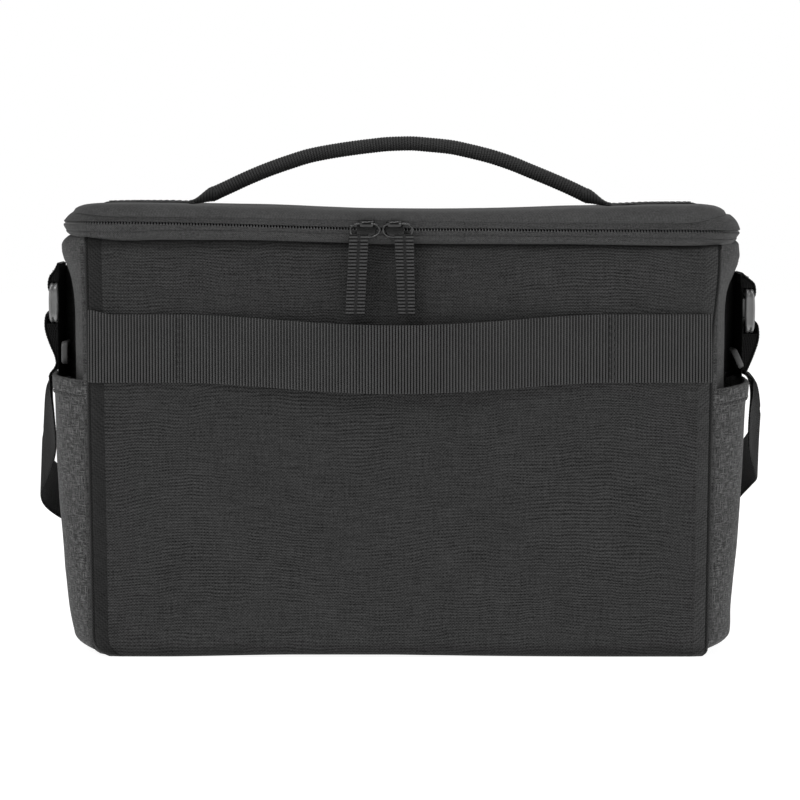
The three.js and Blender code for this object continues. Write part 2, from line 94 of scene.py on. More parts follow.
def vnoise(x, y, seed=0):
    """Smooth noise from -0.5 to 0.5."""
    x, y = np.broadcast_arrays(np.asarray(x, float), np.asarray(y, float))
    ix, iy = np.floor(x), np.floor(y)
    fx, fy = x - ix, y - iy
    fx, fy = fx * fx * (3 - 2 * fx), fy * fy * (3 - 2 * fy)
    a, b = lattice(ix, iy, seed), lattice(ix + 1, iy, seed)
    c, d = lattice(ix, iy + 1, seed), lattice(ix + 1, iy + 1, seed)
    return (a * (1 - fx) + b * fx) * (1 - fy) + (c * (1 - fx) + d * fx) * fy - 0.5


def fbm(x, y, seed=0, octaves=3):
    total, amp = 0.0, 1.0
    for k in range(octaves):
        total = total + amp * vnoise(x * 2**k, y * 2**k, seed + 11 * k)
        amp *= 0.5
    return total


def curve1(table, at):
    """Smooth monotone lookup in rows of (key, value)."""
    t = np.array(table, float)
    x, y = t[:, 0], t[:, 1]
    h, d = np.diff(x), np.diff(y) / np.diff(x)
    m = np.zeros_like(y)
    m[0], m[-1] = d[0], d[-1]
    for i in range(1, len(x) - 1):
        if d[i - 1] * d[i] > 0:
            w1, w2 = 2 * h[i] + h[i - 1], h[i] + 2 * h[i - 1]
            m[i] = (w1 + w2) / (w1 / d[i - 1] + w2 / d[i])
    at = np.clip(np.asarray(at, float), x[0], x[-1])
    i = np.clip(np.searchsorted(x, at) - 1, 0, len(x) - 2)
    s = (at - x[i]) / h[i]
    return (
        y[i] * (1 + 2 * s) * (1 - s) ** 2
        + m[i] * h[i] * s * (1 - s) ** 2
        + y[i + 1] * s * s * (3 - 2 * s)
        + m[i + 1] * h[i] * s * s * (s - 1)
    )


def fall(d, r, depth):
    """How far a rounded rim falls back at distance d from its end."""
    q = np.clip(1 - np.asarray(d, float) / r, 0, 1)
    return depth * (1 - np.sqrt(np.clip(1 - q * q, 0, 1)))


def gauss(x, c, w):
    return np.exp(-(((np.asarray(x, float) - c) / w) ** 2))


def smooth01(t):
    t = np.clip(t, 0, 1)
    return t * t * (3 - 2 * t)


def stations(a, b, step, rim=10.0, fine=1.2):
    """Values from a to b, closer together near both ends."""
    rim = min(rim, (b - a) / 3)
    n_rim, n_mid = max(2, int(round(rim / fine))), max(2, int(round((b - a - 2 * rim) / step)))
    return np.concatenate([
        np.linspace(a, a + rim, n_rim + 1)[:-1],
        np.linspace(a + rim, b - rim, n_mid + 1)[:-1],
        np.linspace(b - rim, b, n_rim + 1),
    ])


def pts(*a):
    return np.stack([np.asarray(q, float) for q in np.broadcast_arrays(*a)], -1)


def unit(v):
    v = np.asarray(v, float)
    return v / np.maximum(np.linalg.norm(v, axis=-1, keepdims=True), 1e-12)


def catmull(points, n, closed=False):
    """n points spaced evenly by length along a smooth line through the given ones."""
    p = np.asarray(points, float)
    if closed:
        p = np.concatenate([p[-1:], p, p[:2]])
    else:
        p = np.concatenate([2 * p[:1] - p[1:2], p, 2 * p[-1:] - p[-2:-1]])
    out = []
    for i in range(1, len(p) - 2):
        a, b, c, d = p[i - 1], p[i], p[i + 1], p[i + 2]
        t0 = 0.0
        t1 = t0 + max(np.linalg.norm(b - a), 1e-6) ** 0.5
        t2 = t1 + max(np.linalg.norm(c - b), 1e-6) ** 0.5
        t3 = t2 + max(np.linalg.norm(d - c), 1e-6) ** 0.5
        t = np.linspace(t1, t2, 24, endpoint=False)[:, None]
        a1 = (t1 - t) / (t1 - t0) * a + (t - t0) / (t1 - t0) * b
        a2 = (t2 - t) / (t2 - t1) * b + (t - t1) / (t2 - t1) * c
        a3 = (t3 - t) / (t3 - t2) * c + (t - t2) / (t3 - t2) * d
        b1 = (t2 - t) / (t2 - t0) * a1 + (t - t0) / (t2 - t0) * a2
        b2 = (t3 - t) / (t3 - t1) * a2 + (t - t1) / (t3 - t1) * a3
        out.append((t2 - t) / (t2 - t1) * b1 + (t - t1) / (t2 - t1) * b2)
    line = np.concatenate(out + [p[-2:-1]])
    return even(line, n)


def even(line, n):
    line = np.asarray(line, float)
    s = np.concatenate([[0], np.cumsum(np.linalg.norm(np.diff(line, axis=0), axis=1))])
    at = np.linspace(0, s[-1], n)
    return np.stack([np.interp(at, s, line[:, k]) for k in range(line.shape[1])], 1)


def length_of(line):
    return float(np.linalg.norm(np.diff(np.asarray(line, float), axis=0), axis=1).sum())


def grid_normals(P):
    du, dv = np.gradient(P, axis=0), np.gradient(P, axis=1)
    return unit(np.cross(du, dv))


def arc_uv(P, centre=True):
    """Metres along the cloth in both directions, taken from the grid's mean cell sizes."""
    du = np.linalg.norm(np.diff(P, axis=0), axis=2).mean(1)
    dv = np.linalg.norm(np.diff(P, axis=1), axis=2).mean(0)
    u, v = np.concatenate([[0], np.cumsum(du)]), np.concatenate([[0], np.cumsum(dv)])
    if centre:
        u, v = u - u[len(u) // 2], v - v[0]
    return np.stack(np.meshgrid(u, v, indexing="ij"), -1) * MM


# ---------------------------------------------------------------------------------------
# mesh maker
# ---------------------------------------------------------------------------------------
class Build:
    """Collects grids of points, each with its place on the cloth, and makes one mesh."""

    def __init__(self):
        self.v, self.f, self.uv, self.m, self.n = [], [], [], [], 0

    def grid(self, P, uv=None, mat=0):
        P = np.asarray(P, float)
        if uv is None:
            uv = arc_uv(P)
        nu, nv = P.shape[:2]
        idx = np.arange(nu * nv).reshape(nu, nv)
        q = np.stack([idx[:-1, :-1], idx[1:, :-1], idx[1:, 1:], idx[:-1, 1:]], -1).reshape(-1, 4)
        self.v.append(P.reshape(-1, 3))
        self.f.append(q + self.n)
        self.uv.append(np.asarray(uv, float).reshape(-1, 2)[q])
        self.m.append(np.full(len(q), mat, int) if np.isscalar(mat) else np.asarray(mat)[:-1, :-1].reshape(-1))
        self.n += nu * nv
        return self

    def slab(self, O, I, uv=None, mat=0, lip=0.4, rim_rows=4, inner_mat=None):
        """A closed piece: outer face O, inner face I, and a rounded rim between them."""
        uv = arc_uv(O) if uv is None else uv
        self.grid(O, uv, mat)
        self.grid(I, uv, (mat if np.isscalar(mat) else 0) if inner_mat is None else inner_mat)
        s = np.linspace(0, 1, rim_rows + 1)
        for edge in (0, 1, 2, 3):
            if edge == 0:
                o, i, o2, u, u2 = O[0], I[0], O[1], uv[0], uv[1]
            elif edge == 1:
                o, i, o2, u, u2 = O[-1], I[-1], O[-2], uv[-1], uv[-2]
            elif edge == 2:
                o, i, o2, u, u2 = O[:, 0], I[:, 0], O[:, 1], uv[:, 0], uv[:, 1]
            else:
                o, i, o2, u, u2 = O[:, -1], I[:, -1], O[:, -2], uv[:, -1], uv[:, -2]
            out, w = unit(o - o2), i - o
            out = unit(out - (out * unit(w)).sum(-1, keepdims=True) * unit(w))
            deep = np.linalg.norm(w, axis=-1, keepdims=True) * MM
            uo = unit(u - u2)
            P = o[None] * (1 - s[:, None, None]) + i[None] * s[:, None, None] + out[None] * (lip * np.sin(PI * s))[:, None, None]
            U = u[None] + uo[None] * (deep * 1.0)[None] * s[:, None, None]
            m = 0 if not np.isscalar(mat) else mat
            if not np.isscalar(mat):
                mm = np.asarray(mat)
                row = {0: mm[0], 1: mm[-2], 2: mm[:, 0], 3: mm[:, -2]}[edge]
                m = np.repeat(row[None], len(s), 0)
            self.grid(P, U, m)
        return self

    def sweep(self, path, section, across=None, closed=False, mat=0, scale=None, cap=True, uv_scale=1.0, bumps=None):
        """section: (m, 2) points in (across, out) round the path, without the last one repeated."""
        path = np.asarray(path, float)
        n = len(path)
        if closed:
            tan = unit(np.roll(path, -1, 0) - np.roll(path, 1, 0))
        else:
            tan = unit(np.gradient(path, axis=0))
        if across is None:
            ref = np.array([0, 0, 1.0]) if abs(tan[0][2]) < 0.9 else np.array([1.0, 0, 0])
            a = unit(np.cross(ref, tan[0]))
            rows = [a]
            for k in range(1, n):
                a = unit(a - np.dot(a, tan[k]) * tan[k])
                rows.append(a)
            A = np.array(rows)
        else:
            A = np.broadcast_to(np.asarray(across, float), path.shape)
            A = unit(A - (A * tan).sum(1, keepdims=True) * tan)
        N = np.cross(tan, A)
        sec = np.asarray(section, float)
        if sec.ndim == 2:
            sec = np.broadcast_to(sec, (n,) + sec.shape)
        if scale is not None:
            sec = sec * np.asarray(scale, float).reshape(n, 1, -1)
        sec = np.concatenate([sec, sec[:, :1]], 1)
        P = path[:, None] + A[:, None] * sec[..., :1] + N[:, None] * sec[..., 1:]
        if bumps is not None:
            P = P + bumps
        s = np.concatenate([[0], np.cumsum(np.linalg.norm(np.diff(path, axis=0), axis=1))])
        g = np.concatenate([np.zeros((n, 1)), np.cumsum(np.linalg.norm(np.diff(sec, axis=1), axis=2), 1)], 1)
        U = np.stack([np.broadcast_to(s[:, None], g.shape), g], -1) * MM * uv_scale
        if closed:
            P = np.concatenate([P, P[:1]])
            end = np.linalg.norm(path[0] - path[-1])
            U = np.concatenate([U, U[-1:] + np.array([end * MM, 0])])
        self.grid(P, U, mat)
        if cap and not closed:
            for k in (0, -1):
                c = P[k, :-1].mean(0)
                rings = np.stack([P[k], P[k] * 0.5 + c * 0.5, np.broadcast_to(c, P[k].shape)])
                ru = np.stack([U[k], U[k] + [0.0005, 0], U[k] + [0.001, 0]])
                self.grid(rings, ru, mat)
        return self

    def blob(self, centre, half, power=(0.5, 0.5), nu=20, nv=12, turn=None, mat=0):
        """A rounded box: an ellipsoid with its sides pushed out as power gets smaller."""
        a = np.linspace(-PI, PI, nu + 1)
        b = np.linspace(-PI / 2, PI / 2, nv + 1)
        f = lambda t, e: np.sign(t) * np.abs(t) ** e
        ca, sa, cb, sb = np.cos(a)[:, None], np.sin(a)[:, None], np.cos(b)[None], np.sin(b)[None]
        cb = np.clip(cb, 0, 1)
        P = pts(half[0] * f(ca, power[0]) * f(cb, power[1]), half[1] * f(sa, power[0]) * f(cb, power[1]), half[2] * f(sb, power[1]) * np.ones_like(ca))
        P[-1] = P[0]
        P[:, 0], P[:, -1] = [0, 0, -half[2]], [0, 0, half[2]]
        if turn is not None:
            P = P @ np.asarray(turn, float).T
        self.grid(P + np.asarray(centre, float), None, mat)
        return self

    def stitches(self, line, normal, length=2.6, gap=0.9, r=0.26, mat=0, sink=0.05, phase=0.0):
        """A run of sewn thread on a line: short rounded stitches that dip in at their ends."""
        line = np.asarray(line, float)
        total = length_of(line)
        count = int((total - phase) // (length + gap))
        if count < 1:
            return self
        s = np.concatenate([[0], np.cumsum(np.linalg.norm(np.diff(line, axis=0), axis=1))])
        normal = np.broadcast_to(np.asarray(normal, float), line.shape)
        at = lambda q: np.stack([np.interp(q, s, line[:, k]) for k in range(3)], -1)
        nat = lambda q: unit(np.stack([np.interp(q, s, normal[:, k]) for k in range(3)], -1))
        pitch = (total - phase) / count
        t = np.linspace(-1, 1, 7)
        w = np.array([0.25, 0.8, 1.0, 1.0, 1.0, 0.8, 0.25])
        a = np.linspace(0, 2 * PI, 7)
        for k in range(count):
            mid = phase + (k + 0.5) * pitch
            q = mid + t * (length * pitch / (length + gap)) / 2
            c, nn = at(q), nat(q)
            tan = unit(np.gradient(c, axis=0))
            side = unit(np.cross(tan, nn))
            lift = (0.55 * r * (1 - t**4) - sink)[:, None]
            c = c + nn * lift
            P = c[:, None] + side[:, None] * (np.cos(a)[None, :, None] * r * w[:, None, None]) + nn[:, None] * (np.sin(a)[None, :, None] * r * 0.8 * w[:, None, None])
            P[:, -1] = P[:, 0]
            P[0], P[-1] = P[0].mean(0), P[-1].mean(0)
            self.grid(P, None, mat)
        return self

    def make(self, name, mats, weld=0.004, sharp=48, mirror_x=False):
        V = np.concatenate(self.v)
        F = np.concatenate(self.f)
        UV = np.concatenate(self.uv)
        M = np.concatenate(self.m)
        if mirror_x:
            V = V * [-1, 1, 1]
        mesh = bpy.data.meshes.new(name)
        mesh.vertices.add(len(V))
        mesh.vertices.foreach_set("co", (V * MM).astype(np.float32).ravel())
        mesh.loops.add(len(F) * 4)
        mesh.loops.foreach_set("vertex_index", F.astype(np.int32).ravel())
        mesh.polygons.add(len(F))
        mesh.polygons.foreach_set("loop_start", np.arange(0, len(F) * 4, 4, dtype=np.int32))
        mesh.polygons.foreach_set("loop_total", np.full(len(F), 4, dtype=np.int32))
        mesh.polygons.foreach_set("material_index", M.astype(np.int32))
        layer = mesh.uv_layers.new(name="UVMap")
        layer.data.foreach_set("uv", UV.astype(np.float32).ravel())
        mesh.update(calc_edges=True)
        bm = bmesh.new()
        bm.from_mesh(mesh)
        bmesh.ops.remove_doubles(bm, verts=bm.verts, dist=weld * MM)
        bmesh.ops.dissolve_degenerate(bm, edges=bm.edges, dist=weld * MM * 0.5)
        loose = [v for v in bm.verts if not v.link_faces]
        if loose:
            bmesh.ops.delete(bm, geom=loose, context="VERTS")
        bmesh.ops.recalc_face_normals(bm, faces=bm.faces)
        bm.to_mesh(mesh)
        bm.free()
        mesh.polygons.foreach_set("use_smooth", np.ones(len(mesh.polygons), bool))
        mesh.set_sharp_from_angle(angle=math.radians(sharp))
        for m in mats if isinstance(mats, (list, tuple)) else [mats]:
            mesh.materials.append(m)
        mesh.update()
        o = bpy.data.objects.new(name, mesh)
        bpy.context.scene.collection.objects.link(o)
        return o


def put(o, body, stands_for=()):
    if body:
        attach(o, body)
    if stands_for:
        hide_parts(*([stands_for] if isinstance(stands_for, str) else stands_for))
    return o


# ---------------------------------------------------------------------------------------
# materials
# ---------------------------------------------------------------------------------------
class Mat:
    def __init__(self, name):
        self.m = bpy.data.materials.new(name)
        self.m.use_nodes = True
        self.t = self.m.node_tree
        self.t.nodes.clear()
        self.out = self.t.nodes.new("ShaderNodeOutputMaterial")
        self.bsdf = self.t.nodes.new("ShaderNodeBsdfPrincipled")
        self.t.links.new(self.bsdf.outputs[0], self.out.inputs[0])

    def node(self, kind, **props):
        n = self.t.nodes.new(kind)
        for k, v in props.items():
            setattr(n, k, v)
        return n

    def feed(self, socket, value):
        if isinstance(value, bpy.types.NodeSocket):
            self.t.links.new(value, socket)
        elif value is not None:
            socket.default_value = value

    def math(self, op, a, b=None, c=None, clamp=False):
        n = self.node("ShaderNodeMath", operation=op, use_clamp=clamp)
        for s, v in zip(n.inputs, (a, b, c)):
            self.feed(s, v)
        return n.outputs[0]

    def uv(self):
        """Across and along the cloth, in metres."""
        n = self.node("ShaderNodeUVMap", uv_map="UVMap")
        s = self.node("ShaderNodeSeparateXYZ")
        self.t.links.new(n.outputs[0], s.inputs[0])
        return s.outputs[0], s.outputs[1]

    def vec(self, x, y, z=0.0):
        n = self.node("ShaderNodeCombineXYZ")
        for s, v in zip(n.inputs, (x, y, z)):
            self.feed(s, v)
        return n.outputs[0]

    def noise(self, vector, scale=1.0, detail=2.0, rough=0.5, dist=0.0):
        n = self.node("ShaderNodeTexNoise")
        self.feed(n.inputs["Vector"], vector)
        n.inputs["Scale"].default_value = scale
        n.inputs["Detail"].default_value = detail
        n.inputs["Roughness"].default_value = rough
        n.inputs["Distortion"].default_value = dist
        return n.outputs["Fac"]

    def wave(self, x, pitch, phase=0.0):
        """A sine over x with that pitch in metres, from -1 to 1."""
        a = self.math("MULTIPLY", x, 2 * PI / pitch)
        if not (isinstance(phase, float) and phase == 0.0):
            a = self.math("ADD", a, phase)
        return self.math("SINE", a)

    def spread(self, x, lo, hi, a=0.0, b=1.0):
        n = self.node("ShaderNodeMapRange")
        n.interpolation_type = "SMOOTHSTEP"
        self.feed(n.inputs["Value"], x)
        for k, v in (("From Min", lo), ("From Max", hi), ("To Min", a), ("To Max", b)):
            n.inputs[k].default_value = v
        return n.outputs["Result"]

    def tint(self, colour, factor):
        """colour times factor."""
        n = self.node("ShaderNodeVectorMath", operation="SCALE")
        n.inputs[0].default_value = colour[:3]
        self.feed(n.inputs["Scale"], factor)
        return n.outputs[0]

    def bump(self, height, distance=0.0003, strength=0.8):
        n = self.node("ShaderNodeBump")
        self.feed(n.inputs["Height"], height)
        n.inputs["Distance"].default_value = distance
        n.inputs["Strength"].default_value = strength
        self.t.links.new(n.outputs[0], self.bsdf.inputs["Normal"])

    def set(self, **values):
        for k, v in values.items():
            self.feed(self.bsdf.inputs[k.replace("_", " ")], v)
        return self


def grey(v, warm=0.0):
    """Linear colour from a grey of 0 to 255, a touch warm or cool."""
    c = v / 255
    lin = c / 12.92 if c <= 0.04045 else ((c + 0.055) / 1.055) ** 2.4
    return (lin * (1 + warm), lin, lin * (1 - warm), 1.0)


LIGHT = 1.0  # how much brighter than their own grey the cloths come out under the lights


def woven(name, level, pitch=0.00085, thread=0.45, yarn=0.9, speck=0.5, drift=0.10, bump=0.00025, strength=0.9, turn=0.0, sheen=0.06, rough=0.82, gloss=0.14, lines=0.0, grain=1300.0, painted_end_shade=False):
    """A plain-woven cloth: over and under threads, each a little thicker or lighter than the next."""
    m = Mat(name)
    u, v = m.uv()
    if turn:
        c, s = math.cos(turn), math.sin(turn)
        u, v = (m.math("ADD", m.math("MULTIPLY", u, c), m.math("MULTIPLY", v, s)),
                m.math("SUBTRACT", m.math("MULTIPLY", v, c), m.math("MULTIPLY", u, s)))
    height = m.uv()[1]
    # the threads wander a little
    v = m.math("MULTIPLY_ADD", m.math("SUBTRACT", m.noise(m.vec(u, v), 55.0, 2.0), 0.5), 0.0035, v)
    u = m.math("MULTIPLY_ADD", m.math("SUBTRACT", m.noise(m.vec(v, u, 3.0), 55.0, 2.0), 0.5), 0.0025, u)
    a, b = m.wave(u, pitch * 2), m.wave(v, pitch * 2)
    weave = m.math("MULTIPLY", a, b)
    warp = m.noise(m.vec(m.math("MULTIPLY", u, 1 / pitch), m.math("MULTIPLY", v, 60.0)), 1.0, 2.0, 0.6)
    weft = m.noise(m.vec(m.math("MULTIPLY", u, 60.0), m.math("MULTIPLY", v, 1 / pitch)), 1.0, 2.0, 0.6)
    speckle = m.noise(m.vec(u, v), grain, 2.0, 0.7)
    cloud = m.noise(m.vec(u, v), 22.0, 4.0, 0.6)
    f = m.math("MULTIPLY_ADD", weave, thread * 0.5, 1.0)
    f = m.math("MULTIPLY_ADD", m.math("SUBTRACT", warp, 0.5), yarn * 0.8, f)
    f = m.math("MULTIPLY_ADD", m.math("SUBTRACT", weft, 0.5), yarn * 1.3, f)
    f = m.math("MULTIPLY_ADD", m.math("SUBTRACT", speckle, 0.5), speck * 2, f)
    f = m.math("MULTIPLY_ADD", m.math("SUBTRACT", cloud, 0.5), drift * 4, f)
    if lines:
        # thicker picks at even steps, sagging slowly along the cloth
        sag = m.math("MULTIPLY_ADD", m.math("SUBTRACT", m.noise(m.vec(u, v, 5.0), 7.0, 2.0), 0.5), 0.03, v)
        strong = m.spread(m.noise(m.vec(u, v, 9.0), 14.0, 2.0), 0.35, 0.65, 0.35, 1.0)
        f = m.math("MULTIPLY_ADD", m.math("MULTIPLY", m.wave(sag, 0.00172), strong), lines, f)
    if painted_end_shade:
        # painted shade: darker towards the bottom where the cloth turns under, and a painted shadow line at the top
        # under the zip tape
        f = m.math("MULTIPLY", f, m.spread(height, 0.0, 0.009, 0.42, 1.0))
        f = m.math("MULTIPLY", f, m.spread(height, 0.2195, 0.2245, 1.0, 0.5))
    f = m.math("MAXIMUM", f, 0.12)
    m.set(Base_Color=m.tint(grey(level), f), Roughness=rough, Sheen_Weight=sheen, Sheen_Roughness=0.5)
    m.bsdf.inputs["Specular IOR Level"].default_value = gloss
    h = m.math("MULTIPLY_ADD", m.math("ADD", warp, weft), 0.5, m.math("MULTIPLY", weave, 0.5))
    m.bump(h, bump, strength)
    return m.m


def heather(name, level, light=1.0, slub=1.0, speck=0.8, pitch=0.0008, bump=0.00022, strength=0.8, drift=0.12, sheen=0.06, gloss=0.14):
    """A melange cloth: a darker ground crossed by short pale threads both ways."""
    m = Mat(name)
    u, v = m.uv()
    weave = m.math("MULTIPLY", m.wave(u, pitch * 2), m.wave(v, pitch * 2))
    long_v = m.noise(m.vec(m.math("MULTIPLY", u, 1400.0), m.math("MULTIPLY", v, 230.0)), 1.0, 2.0, 0.55)
    long_u = m.noise(m.vec(m.math("MULTIPLY", u, 230.0), m.math("MULTIPLY", v, 1400.0), 7.0), 1.0, 2.0, 0.55)
    pale = m.math("MAXIMUM", m.spread(long_v, 0.50, 0.70), m.spread(long_u, 0.50, 0.70))
    dark = m.math("MAXIMUM", m.spread(long_v, 0.47, 0.30), m.spread(long_u, 0.47, 0.30))
    cloud = m.noise(m.vec(u, v), 16.0, 4.0, 0.65)
    speckle = m.noise(m.vec(u, v), 1200.0, 2.0, 0.7)
    f = m.math("MULTIPLY_ADD", pale, light * 0.85 * slub, 0.84)
    f = m.math("MULTIPLY_ADD", dark, -0.55 * min(slub, 1.0), f)
    f = m.math("MULTIPLY_ADD", weave, 0.16, f)
    f = m.math("MULTIPLY_ADD", m.math("SUBTRACT", speckle, 0.5), speck, f)
    f = m.math("MULTIPLY_ADD", m.math("SUBTRACT", cloud, 0.5), drift * 4, f)
    f = m.math("MAXIMUM", f, 0.15)
    m.set(Base_Color=m.tint(grey(level), f), Roughness=0.86, Sheen_Weight=sheen, Sheen_Roughness=0.5)
    m.bsdf.inputs["Specular IOR Level"].default_value = gloss
    h = m.math("MULTIPLY_ADD", m.math("ADD", long_u, long_v), 0.6, m.math("MULTIPLY", weave, 0.35))
    m.bump(h, bump, strength)
    return m.m


def webbing(name, level, rib=0.00162, bead=0.0011, groove=0.9, sheen=0.05, rough=0.68, bump=0.0003, strength=0.9, swap=False, gloss=0.2, centre=None):
    """Ribbed webbing: ribs across u with painted shade in the grooves between them, each rib a row of small knots along
    v.
    """
    m = Mat(name)
    u, v = m.uv()
    if swap:
        u, v = v, u
    ribs = m.math("COSINE", m.math("MULTIPLY", u, 2 * PI / rib))
    half = m.math("MULTIPLY", u, PI / rib)
    knots = m.math("SINE", m.math("ADD", m.math("MULTIPLY", v, 2 * PI / bead), m.math("MULTIPLY", m.math("SIGN", m.math("SINE", half)), PI / 2)))
    low = m.spread(ribs, 0.45, -0.8)
    if centre is not None:
        # a woven-in plain stripe down the middle, where the ribs stop
        plain = m.spread(m.math("ABSOLUTE", m.math("SUBTRACT", v, centre)), 0.0005, 0.0013, 1.0, 0.0)
        low = m.math("MULTIPLY_ADD", m.math("SUBTRACT", 0.62, low), plain, low)
    speckle = m.noise(m.vec(u, v), 1500.0, 2.0, 0.7)
    cloud = m.noise(m.vec(u, v), 40.0, 3.0, 0.6)
    # painted shade and light: the grooves between the ribs darkened and the rib tops lightened, the knots painted
    # lighter and darker too
    f = m.math("MULTIPLY_ADD", low, -groove * 1.15, 1.45)
    f = m.math("MULTIPLY_ADD", knots, 0.2, f)
    f = m.math("MULTIPLY_ADD", m.math("SUBTRACT", speckle, 0.5), 0.9, f)
    f = m.math("MULTIPLY_ADD", m.math("SUBTRACT", cloud, 0.5), 0.5, f)
    f = m.math("MAXIMUM", f, 0.1)
    m.set(Base_Color=m.tint(grey(level), f), Roughness=rough, Sheen_Weight=sheen, Sheen_Roughness=0.45)
    m.bsdf.inputs["Specular IOR Level"].default_value = gloss
    h = m.math("MULTIPLY_ADD", knots, 0.35, m.math("MULTIPLY", speckle, 0.5))
    m.bump(h, bump, strength)
    return m.m


def thread_mat(name, level):
    m = Mat(name)
    co = m.node("ShaderNodeTexCoord").outputs["Object"]
    n = m.noise(co, 2600.0, 2.0, 0.6)
    m.set(Base_Color=m.tint(grey(level), m.math("MULTIPLY_ADD", n, 0.9, 0.55)), Roughness=0.6, Sheen_Weight=0.2)
    m.bump(n, 0.0001, 0.6)
    return m.m


def metal(name, level, rough=0.25, wear=0.25, metallic=1.0, grain=900.0, coat=0.0):
    """Cast and plated metal: even gloss, with fine dulling and a few lighter rubbed places."""
    m = Mat(name)
    co = m.node("ShaderNodeTexCoord").outputs["Object"]
    fine = m.noise(co, grain, 3.0, 0.6)
    broad = m.noise(co, 140.0, 3.0, 0.6)
    f = m.math("MULTIPLY_ADD", m.spread(broad, 0.45, 0.75), wear, 0.9)
    r = m.math("MULTIPLY_ADD", m.math("SUBTRACT", fine, 0.5), 0.18, rough)
    m.set(Base_Color=m.tint(grey(level), f), Roughness=r, Metallic=metallic)
    if coat:
        m.set(Coat_Weight=coat, Coat_Roughness=0.12)
    m.bump(fine, 0.00004, 0.5)
    return m.m


def plastic(name, level, rough=0.4):
    m = Mat(name)
    co = m.node("ShaderNodeTexCoord").outputs["Object"]
    fine = m.noise(co, 1400.0, 2.0, 0.6)
    broad = m.noise(co, 120.0, 3.0, 0.6)
    f = m.math("MULTIPLY_ADD", m.math("SUBTRACT", broad, 0.5), 0.4, 1.0)
    m.set(Base_Color=m.tint(grey(level), f), Roughness=m.math("MULTIPLY_ADD", m.math("SUBTRACT", fine, 0.5), 0.25, rough))
    m.bump(fine, 0.00006, 0.5)
    return m.m


def brushed_cloth(name, level, bump=0.0003):
    """Loop-pile lining: matt, with a fine uneven nap."""
    m = Mat(name)
    u, v = m.uv()
    nap = m.noise(m.vec(u, v), 1100.0, 3.0, 0.7)
    lean = m.noise(m.vec(m.math("MULTIPLY", u, 1.0), m.math("MULTIPLY", v, 2.2)), 60.0, 4.0, 0.6, 0.6)
    f = m.math("MULTIPLY_ADD", m.math("SUBTRACT", nap, 0.5), 0.7, 1.0)
    f = m.math("MULTIPLY_ADD", m.math("SUBTRACT", lean, 0.5), 0.45, f)
    m.set(Base_Color=m.tint(grey(level), f), Roughness=0.95, Sheen_Weight=0.25, Sheen_Roughness=0.4)
    m.bsdf.inputs["Specular IOR Level"].default_value = 0.15
    m.bump(nap, bump, 0.8)
    return m.m


MAT = {
    "panel": woven("panel_weave", 52.5, lines=0.42, thread=0.8, speck=0.95, yarn=1.1, grain=850.0, painted_end_shade=True),
    # left turned edge: the bias-cut weave in a darker copy, painted shade
    "turned_edge_shaded": woven("turned_edge_weave_shaded", 38, turn=math.radians(-38), thread=0.6, pitch=0.0009, lines=0.3, grain=850.0, painted_end_shade=True),
    "seam": woven("seam_shadow", 8, pitch=0.0008, thread=0.3),
    # right turned edge: the same bias-cut weave in a lighter copy, painted light
    "turned_edge_lit": woven("turned_edge_weave_lit", 58, turn=math.radians(38), thread=0.55, pitch=0.0009, lines=0.25, grain=850.0, painted_end_shade=True),
    "base": woven("base_weave", 40, pitch=0.0011, thread=0.4),
    "side": heather("side_heather", 70, slub=0.8, speck=1.3),
    "pocket": heather("pocket_heather", 71, slub=1.7, speck=1.5),
    "lid": heather("lid_heather", 76, slub=0.3, drift=0.16),
    "tape": woven("tape_weave", 69, pitch=0.0006, thread=0.9, yarn=0.9, speck=1.3, drift=0.05, grain=900.0),
    "coil": plastic("coil_nylon", 128, 0.4),
    # dark strip behind the zip coil: painted shade in the gap between the tapes
    "gap": woven("coil_gap_painted_shade", 12, pitch=0.0006, thread=0.3),
    # groove sets how dark the painted shade in the webbings' rib grooves is
    "band": webbing("band_webbing", 63, groove=1.2),
    "handle": webbing("handle_webbing", 53, rib=0.0016, bead=0.0011, groove=0.8),
    "flat_web": webbing("flat_webbing", 40, rib=0.0016, bead=0.0012, groove=0.8),
    "pull": webbing("pull_webbing", 63, rib=0.00185, bead=0.0009, groove=1.4, centre=0.0101),
    "strap": webbing("strap_webbing", 14, rib=0.0016, bead=0.0013, groove=0.7, sheen=0.03, rough=0.55, gloss=0.12),
    # the hanging strap: a darker copy of the strap webbing, painted shade
    "strap_shaded": webbing("strap_webbing_painted_shade", 8, rib=0.0016, bead=0.0013, groove=0.7, sheen=0.02, rough=0.6, gloss=0.08),
    "thread": thread_mat("sewing_thread", 30),
    "thread_side": thread_mat("sewing_thread_side", 10),
    "slider": metal("black_gloss", 12, rough=0.13, wear=0.3, metallic=0.5, coat=0.7),
    "wire": metal("wire_metal", 90, rough=0.22, wear=0.3),
    "ring": metal("ring_metal", 140, rough=0.42, wear=0.2, metallic=0.75),
    "buckle": plastic("buckle_plastic", 86, 0.42),
    "lining": brushed_cloth("loop_lining", 92),
    "binding": woven("edge_binding", 56, pitch=0.0006, thread=0.4),
    "board": plastic("stiff_board", 40, 0.55),
    "foam_mesh": woven("air_mesh", 24, pitch=0.0016, thread=0.9, bump=0.0006, strength=1.0),
}

# ---------------------------------------------------------------------------------------
# the frame's own sizes
# ---------------------------------------------------------------------------------------
BP, FP = box("back_panel"), box("front_panel")
TOP = BP[5]
BACK_IN = BP[4]
FRONT_IN, FRONT_OUT = FP[1], FP[4]
HALF_W = BP[3]
TAPER = 3.0
BACK_OUT, CROWN = -84.0, 4.0
SIDE_MID, SIDE_DEEP = -9.0, 68.7

FLOOR_LINE = [(-171, 0), (-135, 0), (-112, 0.3), (-92, 0.7), (-60, 1.1), (-10, 1.1), (16, 0.8), (49, 0.4), (92, 0.1), (135, 0), (171, 0)]


def side_base(z):
    return HALF_W - TAPER * (1 - z / TOP)


